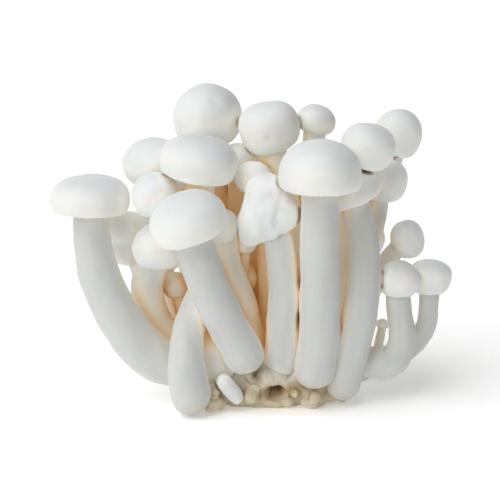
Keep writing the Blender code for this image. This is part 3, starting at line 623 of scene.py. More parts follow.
# Places pressed into a piece from the front: the points of a line, its reach, depth and stain
PRESSES = {
    "base": [([(1.4, 4.3), (3.3, 4.6)], 1.0, 2.5, 2.2), ([(0.6, 4.2), (4.6, 4.9)], 1.3, 0.5, 0.6)]
            + [(line, 0.3, 0.16, 0.16) for line in FAN] + [(RING, 0.26, 0.25, 0.6)]
            + [(line, 0.3, 0.26, 0.4) for line in CREASES] + [(line, 1.1, 0.15, 0.45) for line in STAINS],
    "front_folded": [
        ([(4.3, 57.0), (2.6, 52.0), (2.2, 48.6)], 0.5, 0.22, 0.12),
        ([(3.1, 45.2), (4.0, 46.0)], 0.22, 0.25, 0.3), ([(3.4, 46.2), (3.7, 45.0)], 0.2, 0.2, 0.3),
        ([(-3.2, 52.0), (-0.6, 50.2)], 0.6, 0.15, 0.0)],
    "top_left": [
        ([(-12.8, 76.0), (-12.0, 75.7)], 0.6, 0.25, 0.0), ([(-11.2, 74.4), (-10.6, 74.0)], 0.5, 0.2, 0.0)],
    "top_center": [
        ([(0.4, 67.9), (1.0, 68.3)], 0.3, 0.2, 0.2), ([(0.9, 67.5), (0.6, 68.5)], 0.2, 0.15, 0.15)],
    "upper_right": [([(26.6, 58.2)], 0.35, 0.25, 0.9)],
    "front_right": [([(16.6, 3.6)], 0.3, 0.2, 0.9)],
}
# A press reaches this far behind its foremost point, then fades over the next stretch,
# and it fades out towards the table below this height
PRESS_REACH, PRESS_FADE, PRESS_LOW = 6, 2, 3
# It spares skin that faces back by more than the first number, and looks for its foremost point
# where its share is over the second
PRESS_FACING, PRESS_SHARE = 0.2, 0.05

# Crowding and crevices feed the painted shade and glow of the flesh, and the painted shade in the base's
# folds
# Crowding: how many rays a point sends out, and the part of a turn from one to the next
RAYS, GOLDEN = 14, 0.381966
# How far the rays look for neighbours and for crevices, and how far from the skin they start
CROWD_REACH, CREVICE_REACH, CROWD_START = 30 * MM, 3 * MM, 0.3 * MM
# How often the result is evened out with that of the points beside it
EVEN_ROUNDS = 6

# How far the inside of the bunch, where painted warm shade is added, reaches across and in depth, and the
# heights where it starts and ends
INNER, INNER_LOW, INNER_HIGH = (36 * MM, 27 * MM), (8 * MM, 20 * MM), (49 * MM, 72 * MM)
# How much higher a cap counts than it is, so that it leaves the inside sooner than a stem
CAP_HIGHER = 14 * MM
# How much the inside adds to the crowding that drives the painted shade, and how much the feet take off it,
# with their heights
INNER_ADDS, FEET_TAKE, FEET = 0.42, 0.25, (6 * MM, 26 * MM)
# How light spreads inside the flesh: red, green and blue, and how deep
GLOW = (1.0, 0.62, 0.38)
GLOW_DEPTH = 3 * MM
DARK = (0.0, 0.0, 0.0)

# Relief of a stem: the size of its lumps, dimples, streaks and wrinkles, and their height
STEM_LUMPS, STEM_DIMPLES = (8 * MM, 0.5 * MM), (2.6 * MM, 0.1 * MM)
STEM_STREAKS, FOOT_WRINKLES = (1.1 * MM, 0.12 * MM), (1.1 * MM, 0.16 * MM)
# Where the wrinkles of the foot start to fade, and where they end
WRINKLED_FOOT = (1.5 * MM, 8 * MM)
# The pattern of the streaks: its radius round the stem, how far it is stretched along it, and how
# much it changes from place to place
GRAIN_WIDTH, GRAIN_LENGTH, GRAIN_DRIFT = 4 * MM, 0.08, 0.05
# Relief of a lobed cap and of the base: sizes and heights of lumps and grain, and their detail
LOBE_RELIEF = ((3.2 * MM, 0.22 * MM, 2.0), (1.2 * MM, 0.04 * MM))
BASE_RELIEF = ((2.2 * MM, 0.22 * MM, 2.0), (0.7 * MM, 0.05 * MM, 2.0))


def grow_stem(tree, line, sides):
    """Nodes for a stem: a sweep round the line, with lumps, streaks along it and a wrinkled foot."""
    spline = tree.add("GeometryNodeSplineParameter")
    line, along = tree.capture(line, spline.output("Length"))
    circle = tree.add("GeometryNodeCurvePrimitiveCircle", {"Resolution": sides, "Radius": 1.0})
    circle, round_it = tree.capture(circle, tree.add("GeometryNodeSplineParameter"))
    radius = tree.add("GeometryNodeInputRadius")
    skin = tree.add("GeometryNodeCurveToMesh", {"Curve": line, "Profile Curve": circle, "Scale": radius,
                                                "Fill Caps": True})
    angle = round_it * TURN
    across = tree.calculate("COSINE", angle)
    deep = tree.calculate("SINE", angle)
    spot = tree.position()
    grain = (tree.vector(across * GRAIN_WIDTH, deep * GRAIN_WIDTH, along * GRAIN_LENGTH)
             + spot * GRAIN_DRIFT)
    rings = tree.vector(across * MM, deep * MM, along) + spot * (2 * GRAIN_DRIFT)
    at_foot = 1.0 - tree.fade(along, *WRINKLED_FOOT)
    relief = (tree.bumps(spot, *STEM_LUMPS) + tree.bumps(spot, *STEM_DIMPLES)
              + tree.bumps(grain, *STEM_STREAKS) + tree.bumps(rings, *FOOT_WRINKLES) * at_foot)
    skin = tree.store(tree.raise_skin(skin, relief), "grain", grain)
    return tree.store(tree.store(skin, "along", along), "part", 0.0)


def grow_cap(tree, width, dome, lip, square, closed, segments, rings, neck, gills, phases):
    """Nodes for a cap: a turned outline with gills under it, out of round and shallowly lumpy."""
    half = width * 0.5
    sphere = tree.add("GeometryNodeMeshUVSphere", {"Segments": segments, "Rings": rings, "Radius": 1.0})
    x, y, z = tree.parts(tree.position())
    reach = tree.calculate("SQRT", x * x + y * y)
    under = tree.calculate("LESS_THAN", z, 0.0)
    below = tree.calculate("ARCSINE", z * -1.0) * (4 / TURN)
    under_radius, under_depth = (
        tree.curve(below, opened) * (1.0 - closed) + tree.curve(below, shut) * closed
        for opened, shut in ((UNDER_RADIUS, CLOSED_RADIUS), (UNDER_DEPTH, CLOSED_DEPTH)))
    radius = reach ** (2.0 / square) * (1.0 - under) + under_radius * under
    height = tree.calculate("MAXIMUM", z, 0.0) ** (2.0 / square) * dome - under_depth * lip
    place = tree.vector(x / reach * radius * half, y / reach * radius * half, height)
    cap = tree.store(tree.move(sphere, place=place), "part", 1.0)
    blades = [grow_gills(tree, half, lip, neck, gills, start, turn)
              for start, turn in ((0.0, 0.0), (SHORT_GILL, 0.5))]
    blades = tree.store(tree.join(*blades), "part", 2.0)
    cap = tree.join(cap, blades)
    x, y, z = tree.parts(tree.position())
    angle = tree.calculate("ARCTAN2", y, x)
    oval, wave, ripple = tree.parts(phases)
    swell = (tree.calculate("SINE", angle * 2.0 + oval) * OVAL
             + tree.calculate("SINE", angle * 3.0 + wave) * WAVE + 1.0)
    share = tree.calculate("SQRT", x * x + y * y) / half
    cap = tree.store(cap, "rim", share)
    lift = tree.calculate("SINE", angle * 2.0 + ripple) * share * lip * RIPPLE
    cap = tree.move(cap, place=tree.vector(x * swell, y * swell, z + lift))
    spot = tree.position() + phases * CAP_SHIFT
    cap = tree.store(tree.store(cap, "grain", spot), "along", CAP_ALONG)
    lumps = tree.add("ShaderNodeTexNoise", {"Vector": spot / width, "Scale": CAP_LUMPS, "Detail": 2.0,
                                            "Roughness": 0.45}).output("Color") - (0.5, 0.5, 0.5)
    return tree.move(cap, offset=lumps * (width * CAP_LUMP_HEIGHT))


def grow_gills(tree, half, lip, neck, count, start, turn):
    """Nodes for thin blades that hang under a cap, from the neck, or from further out, to the margin."""
    blade = tree.add("GeometryNodeMeshCube", {"Size": 1.0, "Vertices X": 12, "Vertices Y": 2,
                                              "Vertices Z": 3})
    x, y, z = tree.parts(tree.position())
    along = x + 0.5
    down = 0.5 - z
    inner = neck * GILL_START + (half * GILL_END - neck) * start
    radius = inner + (half * GILL_END - inner) * along
    surface = tree.curve(radius / half, GILL_LINE) * lip * -1.0
    hang = tree.calculate("SINE", tree.calculate("MAXIMUM", along, 0.02) ** 0.7 * (TURN / 2)) * GILL_DEPTH
    height = surface + (1.0 - down) * GILL_SUNK - hang * down
    thick = y * (GILL_THICK * (1.0 - 0.5 * down))
    blade = tree.move(blade, place=tree.vector(radius, thick, height))
    spots = tree.add("GeometryNodePoints", {"Count": count})
    angle = (tree.add("GeometryNodeInputIndex") + turn) * TURN / count
    blades = tree.add("GeometryNodeInstanceOnPoints", {
        "Points": spots, "Instance": blade,
        "Rotation": tree.add("FunctionNodeAxisAngleToRotation", {"Axis": (0, 0, 1), "Angle": angle})})
    return tree.realize(blades)


def mushroom_tree(material):
    """The tree that grows a whole mushroom round its stem's line, in one skin."""
    tree = GrowthTree("Mushroom")
    line = tree.input("Line", "Geometry")
    stem = grow_stem(tree, line, tree.input("Sides", "Int", 40))
    cap = grow_cap(tree, *(tree.input(name, kind, default) for name, kind, default in (
        ("Width", "Float", 18 * MM), ("Dome", "Float", 6 * MM), ("Lip", "Float", 3 * MM),
        ("Square", "Float", 2.2), ("Closed", "Float", 0.0), ("Segments", "Int", 96), ("Rings", "Int", 64),
        ("Neck", "Float", 3 * MM), ("Gills", "Int", 0), ("Phases", "Vector", None))))
    cap = tree.add("GeometryNodeTransform", {"Geometry": cap, "Translation": tree.input("Top", "Vector"),
                                             "Rotation": tree.input("Lean", "Vector")})
    tree.finish(tree.union(cap, stem), material)
    return tree


def sprouting_tree(material):
    """The tree that fuses a sprout to the mushroom that it grew from."""
    tree = GrowthTree("Sprouting")
    mushroom = tree.input("Mushroom", "Geometry")
    tree.finish(tree.union(mushroom, tree.other("Sprout")), material)
    return tree


def lobed_tree(material):
    """The tree for a mushroom whose cap grew into lobes that melted into each other."""
    tree = GrowthTree("Lobed mushroom")
    line = tree.input("Line", "Geometry")
    stem = grow_stem(tree, line, tree.input("Sides", "Int", 40))
    radius = tree.add("GeometryNodeInputNamedAttribute", {"Name": "radius"}, data_type="FLOAT")
    points = tree.add("GeometryNodeMeshToPoints", {"Mesh": tree.other("Lobes"), "Radius": radius},
                      mode="VERTICES")
    fog = tree.add("GeometryNodePointsToVolume", {"Points": points, "Voxel Size": LOBE_GRAIN,
                                                  "Radius": tree.add("GeometryNodeInputRadius")},
                   resolution_mode="VOXEL_SIZE")
    cap = tree.add("GeometryNodeVolumeToMesh", {"Volume": fog})
    spot = tree.position()
    cap = tree.move(cap, place=tree.even(spot, LOBE_MELT))
    lumps, grain = (tree.bumps(spot, *bumps) for bumps in LOBE_RELIEF)
    cap = tree.raise_skin(cap, lumps + grain)
    cap = tree.store(tree.store(tree.store(cap, "grain", spot), "along", CAP_ALONG), "part", 1.0)
    tree.finish(tree.union(cap, stem), material)
    return tree


def base_tree(material):
    """The tree for the base: knobs and buds all over its block, melted into one skin."""
    tree = GrowthTree("Base")
    block = tree.input("Block", "Geometry")
    x, y, z = tree.parts(tree.position())
    growths = [block]
    for name, gap, low, high, stretch in BASE_GROWTHS:
        seed = tree.input(name + " seed", "Int", SEED)
        spots = tree.add("GeometryNodeDistributePointsOnFaces",
                         {"Mesh": block, "Distance Min": gap, "Density Max": GROWTH_DENSITY, "Seed": seed,
                          "Selection": tree.calculate("GREATER_THAN", z, GROWTH_LOW)},
                         distribute_method="POISSON")
        knob = tree.add("GeometryNodeMeshIcoSphere", {"Radius": 1.0, "Subdivisions": BALL_CUTS})
        size = tree.add("FunctionNodeRandomValue", {"Min": low, "Max": high, "Seed": seed},
                        data_type="FLOAT")
        knobs = tree.add("GeometryNodeInstanceOnPoints", {
            "Points": spots, "Instance": knob, "Rotation": spots.output("Rotation"),
            "Scale": tree.vector(size, size, size * stretch)})
        growths.append(tree.realize(knobs))
    fog = tree.add("GeometryNodeMeshToVolume", {"Mesh": tree.join(*growths), "Voxel Size": BASE_GRAIN,
                                                "Interior Band Width": BASE_GRAIN * BASE_BAND},
                   resolution_mode="VOXEL_SIZE")
    skin = tree.add("GeometryNodeVolumeToMesh", {"Volume": fog})
    spot = tree.position()
    skin = tree.move(skin, place=tree.even(spot, BASE_MELT))
    lumps, grain = (tree.bumps(spot, *bumps) for bumps in BASE_RELIEF)
    skin = tree.raise_skin(skin, lumps + grain)
    tree.finish(tree.difference(skin, tree.other("Below"), tree.other("Hollows")), material)
    return tree


def crowding_tree():
    """The tree that measures, at each point of the bunch, how much of the bunch stands before it."""
    tree = GrowthTree("Crowding")
    bunch = tree.input("Bunch", "Geometry")
    normal = tree.add("GeometryNodeInputNormal")
    start = tree.position() + normal * CROWD_START
    crowded = crevice = 0.0
    for i in range(RAYS):
        height = 1 - 2 * (i + 0.5) / RAYS
        reach = math.sqrt(1 - height * height)
        angle = i * TURN * GOLDEN
        ray = tree.add("GeometryNodeRaycast", {
            "Target Geometry": bunch, "Source Position": start, "Ray Length": CROWD_REACH,
            "Ray Direction": tree.calculate("NORMALIZE", normal + (
                reach * math.cos(angle), reach * math.sin(angle), height))})
        near = ray * (1.0 - ray.output("Hit Distance") / CROWD_REACH)
        crowded = near * (1 / RAYS) + crowded
        close = tree.calculate("MAXIMUM", 1.0 - ray.output("Hit Distance") / CREVICE_REACH, 0.0)
        crevice = ray * close * (1 / RAYS) + crevice
    for name, value in (("crowded", crowded), ("crevice", crevice)):
        bunch = tree.store(bunch, name, tree.even(value, EVEN_ROUNDS))
    tree.finish(bunch, None)
    return tree


# How much wider than its solid a stem's radius is, so that crowded stems touch, and some more so
STEM_SWELL = 0.3
WIDE_STEMS = {"front_small": 1.0, "upper_behind": 0.6, "center_behind": 0.5, "top_left": 0.4,
              "far_right": 0.2, "finger": -0.6}
# Where a stem swells into a bulb: place along it, reach and extra radius
BULBS = {"right_small": (0.43, 0.1, 1.0), "front_left_low": (0.2, 0.15, 0.3)}
# Where a stem stands aside from its solid: place along it, reach and how far it moves
ASIDE = {"gap_small": (0.5, 0.35, (-4.6, 3.6, 0.0)), "right_small": (0.2, 0.15, (0.0, 0.0, 2.0))}
# How a foot is rounded: distance from its end in foot radii, and part of the full width there.
# Beyond it, a stem has a ring each step
FOOT_ROUNDING = ((0.0, 0.04), (0.02, 0.2), (0.08, 0.40), (0.18, 0.58), (0.32, 0.75), (0.5, 0.88),
                 (0.75, 0.97), (1.0, 1.0))
RING_STEP = 0.9
# Caps wider than the first are big and narrower than the second small
BIG_CAP, SMALL_CAP = 14, 8
# Sides of a stem, and segments and rings of a cap, for a big, a middling and a small mushroom
BIG, MIDDLING, SMALL = (40, 96, 64), (32, 72, 48), (24, 48, 32)
GILLS_A_MM = 1.9
# A cap counts as this far up its stem, so that nothing of the foot shows on it
CAP_ALONG = 60 * MM


def line_of(mushroom, line):
    """A curve object along a mushroom's stem, as wide as the stem at each point."""
    length = sum(math.dist(a, b) for a, b in zip(line, line[1:]))
    foot = mushroom.stem[0] / 2 / length
    places = [foot * step for step, _ in FOOT_ROUNDING]
    rings = round((1 - places[-1]) * length / RING_STEP)
    start = places[-1]
    places += [start + (1 - start) * (i + 1) / rings for i in range(rings)]
    rounding = [part for _, part in FOOT_ROUNDING] + [1.0] * rings
    swell = WIDE_STEMS.get(mushroom.name, STEM_SWELL)
    curve = bpy.data.curves.new(mushroom.name, "CURVE")
    curve.dimensions = "3D"
    curve.twist_mode = "MINIMUM"
    spline = curve.splines.new("POLY")
    spline.points.add(len(places) - 1)
    bend, span, aside = ASIDE.get(mushroom.name, (0, 1, (0, 0, 0)))
    spot, reach, bulge = BULBS.get(mushroom.name, (0, 1, 0))
    for point, place, t, part in zip(spline.points, smooth_line(line, places), places, rounding):
        place = place + numpy.array(aside) * math.exp(-((t - bend) / span) ** 2)
        point.co = (*(place * MM), 1.0)
        extra = bulge * math.exp(-((t - spot) / reach) ** 2)
        point.radius = (stem_radius(mushroom.stem, t) + swell + extra) * part * MM
    return bpy.data.objects.new(mushroom.name, curve)


def grow_mushroom(tree, mushroom, line):
    """One mushroom, in the place of its solid."""
    width, dome, lip, square = mushroom.cap
    draw = random.Random(f"{SEED} {mushroom.name}")
    phases = [draw.uniform(0, TURN) for _ in range(3)]
    sides, segments, rings = BIG if width > BIG_CAP else SMALL if width < SMALL_CAP else MIDDLING
    gills = round(width * GILLS_A_MM) if mushroom.gills else 0
    if not gills:
        lip *= DEEPER_LIPS.get(mushroom.name, CLOSED_LIP)
    return tree.grow(line_of(mushroom, line), "grown_" + mushroom.name, sides=sides,
                     width=width * MM, dome=dome * MM, lip=lip * MM, square=square,
                     closed=0.0 if gills else 1.0, segments=segments, rings=rings,
                     neck=mushroom.stem[2] / 2 * MM, gills=gills, phases=phases,
                     top=tuple(line[-1] * MM), lean=tuple(cap_turn(mushroom.lean).to_euler()))


def add_sprout(tree, flesh, piece, sprout):
    """The piece with a tiny mushroom grown out of its foot."""
    tiny = grow_mushroom(tree, sprout, numpy.array(sprout.route, float))
    name = piece.name
    plain = bpy.data.objects.new("stem", piece.data)
    bpy.data.objects.remove(piece)
    fused = sprouting_tree(flesh).grow(plain, name, sprout=tiny)
    bpy.data.objects.remove(tiny)
    return fused


def grow_lobed(tree, mushroom, line):
    """One mushroom with a lobed cap, in the place of its solid."""
    middle = Vector(line[-1])
    lobes = [(*(middle + Vector(spot)), radius) for *spot, radius in LOBES.get(mushroom.name, ())]
    if mushroom.name in FINGERS:
        away, foot, tip = FINGERS[mushroom.name]
        line = numpy.array([line[-1] + away, line[-1]])
        places = [i / FINGER_STEPS for i in range(FINGER_STEPS + 1)]
        lobes = [(*spot, foot + (tip - foot) * t) for spot, t in zip(smooth_line(line, places), places)]
    mesh = bpy.data.meshes.new("lobes")
    mesh.from_pydata([tuple(Vector(spot) * MM) for *spot, _ in lobes], [], [])
    radius = mesh.attributes.new("radius", "FLOAT", "POINT")
    radius.data.foreach_set("value", [lobe[-1] * MM for lobe in lobes])
    seed = bpy.data.objects.new("lobes", mesh)
    bpy.context.scene.collection.objects.link(seed)
    piece = tree.grow(line_of(mushroom, line), "grown_" + mushroom.name, sides=40, lobes=seed)
    bpy.data.objects.remove(seed)
    return piece


def add_ball(bm, place, radius, stretch=(1, 1, 1)):
    """A ball of the block or of a cutter, in millimetres."""
    turn = Matrix.Translation(Vector(place) * MM) @ Matrix.Diagonal((*stretch, 1))
    bmesh.ops.create_icosphere(bm, subdivisions=BALL_CUTS, radius=radius * MM, matrix=turn)


def mesh_of(bm, name):
    """A new object for a finished bmesh."""
    mesh = bpy.data.meshes.new(name)
    bm.to_mesh(mesh)
    bm.free()
    return bpy.data.objects.new(name, mesh)


def grow_base(tree):
    """The base: its block with the front buds set on it, and cut flat below."""
    bm = bmesh.new()
    add_ball(bm, BASE_CENTRE, 1, BASE_HALF)
    for *place, radius in BASE_LOBES:
        add_ball(bm, place, radius)
    block = mesh_of(bm, "block")
    bm = bmesh.new()
    bm.from_mesh(block.data)
    bpy.context.scene.collection.objects.link(block)
    bpy.context.view_layer.update()
    for x, z, radius in FRONT_BUDS:
        found, spot, _, _ = block.ray_cast(Vector((x, IN_FRONT, z)) * MM, (0, 1, 0))
        if found:
            add_ball(bm, (x, spot.y / MM + radius * BUD_SINK, z), radius)
    bpy.data.objects.remove(block)
    cutter = bmesh.new()
    bmesh.ops.create_cube(cutter, size=CUT_SIZE * MM, matrix=Matrix.Translation((0, 0, -CUT_SIZE / 2 * MM)))
    bmesh.ops.subdivide_edges(cutter, edges=cutter.edges, cuts=CUT_FACES, use_grid_fill=True)
    balls = bmesh.new()
    for *place, radius in BASE_HOLLOWS:
        add_ball(balls, place, radius)
    cutters = mesh_of(cutter, "below"), mesh_of(balls, "hollows")
    for made in cutters:
        bpy.context.scene.collection.objects.link(made)
    piece = tree.grow(mesh_of(bm, "block"), "grown_base", below=cutters[0], hollows=cutters[1])
    for made in cutters:
        bpy.data.objects.remove(made)
    return piece


def press(piece, presses):
    """Pits and creases pressed into a piece from the front, with a stain in each."""
    mesh = piece.data
    spots, normals = numpy.empty((2, len(mesh.vertices) * 3))
    mesh.vertices.foreach_get("co", spots)
    mesh.vertex_normals.foreach_get("vector", normals)
    spots, normals = spots.reshape(-1, 3) / MM, normals.reshape(-1, 3)
    stain = numpy.zeros(len(spots))
    for points, reach, depth, dark in presses:
        flat = [numpy.array(point, float) for point in points]
        near = numpy.full(len(spots), 1e9)
        for start, end in zip(flat, flat[1:] or flat):
            span = end - start
            t = numpy.clip((spots[:, (0, 2)] - start) @ span / max(span @ span, 1e-9), 0, 1)
            gap = spots[:, (0, 2)] - start - t[:, None] * span
            near = numpy.minimum(near, (gap * gap).sum(axis=1))
        share = numpy.exp(-near / (2 * reach * reach)) * (normals[:, 1] < PRESS_FACING)
        close = share > PRESS_SHARE
        if close.any():
            front = spots[close, 1].min()
            share *= numpy.clip(1 - (spots[:, 1] - front - PRESS_REACH) / PRESS_FADE, 0, 1)
        spots -= normals * (share * depth)[:, None] * numpy.clip(spots[:, 2:] / PRESS_LOW, 0, 1)
        stain = numpy.maximum(stain, share * dark)
    mesh.vertices.foreach_set("co", (spots * MM).ravel())
    mesh.attributes.new("stain", "FLOAT", "POINT").data.foreach_set("value", stain)
    mesh.update()


def soften(piece):
    """Smooth shading, with creases kept sharp."""
    piece.data.shade_smooth()
    piece.data.set_sharp_from_angle(angle=math.radians(SHARP_ANGLE))


def mark_crowding(pieces):
    """Measures crowding over the whole bunch at once, and leaves each piece its own part of it."""
    together = bmesh.new()
    for piece in pieces:
        together.from_mesh(piece.data)
    bunch = crowding_tree().grow(mesh_of(together, "bunch"), "measured_bunch")
    for name in ("crowded", "crevice"):
        values = numpy.empty(len(bunch.data.vertices), numpy.float32)
        bunch.data.attributes[name].data.foreach_get("value", values)
        start = 0
        for piece in pieces:
            count = len(piece.data.vertices)
            kept = piece.data.attributes.new(name, "FLOAT", "POINT")
            kept.data.foreach_set("value", values[start:start + count])
            start += count
    bpy.data.objects.remove(bunch)


def paint_flesh(look):
    """White flesh: satin caps, streaked stems, and painted warm shade, painted glow and painted seam shade
    where the bunch is crowded.
    """
    tree = FinishTree("White flesh")
    part, along, rim, crowded, crevice, stain = (
        tree.attribute(name) for name in ("part", "along", "rim", "crowded", "crevice", "stain"))
    grain = tree.attribute("grain", "Vector")
    spot = tree.add("ShaderNodeTexCoord").output("Object")
    on_cap = tree.fade(part, 0.2, 0.8) * (1.0 - tree.fade(part, 1.2, 1.8))
    on_gills = tree.fade(part, 1.2, 1.8)
    mottle = tree.noise(spot, 4 * MM, 3.0, 0.6)
    fibres = tree.noise(grain, 0.7 * MM, 3.0, 0.6)
    pores = tree.noise(spot, 0.45 * MM, 2.0, 0.6)
    foot = 1.0 - tree.fade(along + mottle * (2 * MM), 0.0, look.foot_reach)
    streaks = tree.fade(fibres, 0.1, 0.9) * (1.0 - on_cap)
    patches = tree.fade(mottle, 0.0, 1.0) * 0.2 * (1.0 - on_cap * 0.3)
    # Painted light: a cap's thin margin is made paler, as if light shone through it
    margin = tree.fade(rim, 0.86, 1.02) * on_cap
    # Painted shade: the inside of the bunch, above the feet and below the caps, gets more of the painted
    # warm shade, and caps get less
    x, y, height = tree.parts(spot)
    outwards = tree.calculate("SQRT", (x / INNER[0]) ** 2.0 + (y / INNER[1]) ** 2.0)
    inner = tree.calculate("MAXIMUM", 1.0 - outwards, 0.0)
    top = height + on_cap * CAP_HIGHER
    inner = inner * (1.0 - tree.fade(top, *INNER_HIGH)) * tree.fade(height, *INNER_LOW)
    above_foot = tree.fade(height, *FEET)
    spared = on_cap * (1.0 - inner) * look.cap_spared
    shaded = crowded - spared + inner * INNER_ADDS + (above_foot - 1.0) * FEET_TAKE + mottle * 0.04
    # Painted shade: dark brown where stems nearly touch, from the crevice measure; it also puts out the
    # painted glow there
    seam = tree.fade(crevice, 0.3, 0.6)
    # Painted shade: pale and full warm tints laid where the bunch is crowded, standing in for the warm shade
    # and bounced light between the stems
    colour = tree.layers(
        tree.blend(on_cap, tuple(look.stem), tuple(look.cap)), (on_gills, look.gills),
        (streaks * 0.45, look.streak), (patches, look.streak), (margin * 0.35, look.margin),
        (foot * 0.4, look.foot), (tree.fade(shaded, look.painted_shade_start, look.painted_shade_end) * 0.8, look.painted_pale_shade),
        (tree.fade(shaded, look.painted_shade_end - 0.14, look.painted_shade_end + 0.16), look.tan),
        (seam * 0.75, look.seam), (stain, look.foot))
    # Painted glow: emission where the bunch is crowded, standing in for light shining through the flesh
    light = tree.layers(
        DARK, (tree.fade(crowded, 0.1, 0.42), look.pale_light),
        (tree.fade(shaded, look.painted_shade_end - 0.2, look.painted_shade_end + 0.1), look.deep_light), (seam, DARK))
    roughness = look.roughness + pores * 0.05 + mottle * 0.05
    relief = pores * 0.35 + fibres * (1.0 - on_cap) * 0.9 + mottle * 0.8
    return tree.finish({"Base Color": colour, "Roughness": roughness, "Emission Color": light,
                        "Emission Strength": 1.0}, relief, look.relief, look.softness)


def paint_base(look):
    """The base: cream buds, with brown in the folds between them, partly its own colour and partly painted
    shade, and in the pressed places.
    """
    tree = FinishTree("Grown base")
    crevice, stain = tree.attribute("crevice"), tree.attribute("stain")
    spot = tree.add("ShaderNodeTexCoord").output("Object")
    mottle = tree.noise(spot, 3 * MM, 4.0, 0.6)
    grit = tree.noise(spot, 0.5 * MM, 3.0, 0.65)
    patches = tree.noise(spot + (0.1, 0.2, 0.3), 7 * MM, 2.0, 0.5)
    height = tree.parts(spot)[2]
    # Partly painted shade: the folds are browned by the crevice measure, for the base's own brown there and
    # for the shade in them
    folds = tree.fade(crevice + grit * 0.06, look.fold_start, look.fold_end)
    soiled = stain + grit * 0.08
    colour = tree.layers(
        tuple(look.bud), (tree.fade(mottle, -0.5, 0.9), look.flesh),
        (tree.fade(height + mottle * (1 * MM), 5 * MM, 10 * MM), look.collar),
        (tree.fade(patches, 0.1, 0.8) * 0.6, look.stain), (folds * 0.7, look.fold),
        (tree.fade(grit, 0.35, 0.9) * 0.25, look.fold), (tree.fade(soiled, 0.08, 0.7), look.fold),
        (tree.fade(soiled, 0.7, 1.6), look.deep))
    return tree.finish({"Base Color": colour, "Roughness": look.roughness + grit * 0.08},
                       grit * 0.7 + mottle, look.relief, look.softness)


def colour_property(name, description, default):
    """A colour that a user may change."""
    return FloatVectorProperty(name=name, description=description, default=default, subtype="COLOR",
                               size=3, min=0.0, max=1.0)


def share_property(name, description, default):
    """A share from 0 to 1."""
    return FloatProperty(name=name, description=description, default=default, min=0.0, max=1.0,
                         subtype="FACTOR")


def length_property(name, description, default):
    """A length in metres."""
    return FloatProperty(name=name, description=description, default=default, unit="LENGTH")


class ShimejiFlesh(bpy.types.PropertyGroup):
    """Colours and finish of the mushrooms."""
    cap: colour_property("Cap", "White of the caps", (0.72, 0.75, 0.75))
    # The stems' white is the flesh's own white, set darker than the caps' as painted shade
    stem: colour_property("Stem", "White of the stems", (0.58, 0.595, 0.58))
    gills: colour_property("Gills", "Cream of the gills", (0.80, 0.76, 0.68))
    streak: colour_property("Streak", "Greyer flesh in streaks and patches", (0.48, 0.48, 0.45))
    # Painted light: the paler margin stands in for light shining through a cap's thin rim
    margin: colour_property("Margin", "Warmer flesh at a cap's thin margin", (0.84, 0.80, 0.72))
    foot: colour_property("Foot", "Brown at the foot of a stem", (0.45, 0.36, 0.24))
    # Painted shade: warm tints for the crowded gaps between the stems, not the flesh's own colour
    painted_pale_shade: colour_property("Pale tan", "First tint where mushrooms begin to crowd", (0.90, 0.83, 0.70))
    tan: colour_property("Tan", "Colour where mushrooms crowd together", (0.88, 0.71, 0.49))
    # Painted shade: the dark line in the crevices where two stems touch
    seam: colour_property("Seam", "Brown line where two stems touch", (0.36, 0.25, 0.14))
    # Painted glow: the next two colours are emitted from the flesh, as if light shone through where it is
    # crowded
    pale_light: colour_property("Pale light", "Light that comes through where mushrooms begin to crowd",
                                (0.10, 0.094, 0.078))
    deep_light: colour_property("Deep light", "Light that comes through where mushrooms crowd together",
                                (0.05, 0.024, 0.005))
    # Painted shade: the crowding at which the painted warm shade sets in and is full, and how much later a
    # cap takes it
    painted_shade_start: share_property("Tan start", "Crowding at which the tan sets in", 0.36)
    painted_shade_end: share_property("Tan end", "Crowding at which the tan is full", 0.70)
    cap_spared: share_property("Cap spared", "Extra crowding that a cap takes before it tans", 0.28)
    foot_reach: length_property("Foot reach", "How far up a stem its foot is brown", 5 * MM)
    roughness: share_property("Roughness", "Satin of the skin", 0.5)
    relief: length_property("Relief", "Depth of fibres and pores", 0.07 * MM)
    softness: share_property("Softness", "How much light enters the flesh", 0.8)


class ShimejiBase(bpy.types.PropertyGroup):
    """Colours and finish of the base."""
    bud: colour_property("Bud", "Cream of the buds", (0.56, 0.48, 0.33))
    flesh: colour_property("Flesh", "Paler flesh of the base", (0.68, 0.63, 0.52))
    collar: colour_property("Collar", "White flesh where the base rises to the stems", (0.66, 0.64, 0.56))
    stain: colour_property("Stain", "Yellowish patches", (0.58, 0.47, 0.29))
    # The base's own brown and painted shade in its folds, also used for grit and stains
    fold: colour_property("Fold", "Brown in the folds", (0.36, 0.23, 0.11))
    deep: colour_property("Deep", "Dark brown in pits and along creases", (0.09, 0.05, 0.02))
    fold_start: share_property("Fold start", "Crevice share where brown starts", 0.28)
    fold_end: share_property("Fold end", "Crevice share where brown is full", 0.8)
    roughness: share_property("Roughness", "Dull finish of the base", 0.62)
    relief: length_property("Relief", "Depth of the grit", 0.1 * MM)
    softness: share_property("Softness", "How much light enters the base", 0.4)


# The spot that the camera looks at, in millimetres, and the width of its sensor
TARGET = (-3.75, -8.0, 38.34)
SENSOR = 36.0
# Where the lights stand, in metres, and how wide the one at the side is
KEY_PLACE = (-0.55, -0.47, 0.98)
SIDE_PLACE, SIDE_WIDTH = (-0.42, -0.72, 0.30), 0.4
# Floor and backdrop, in metres: half the floor, the bend's radius and steps, and the wall's top
FLOOR_REACH, BEND, BEND_STEPS, WALL_TOP = 3.0, 0.8, 12, 2.6


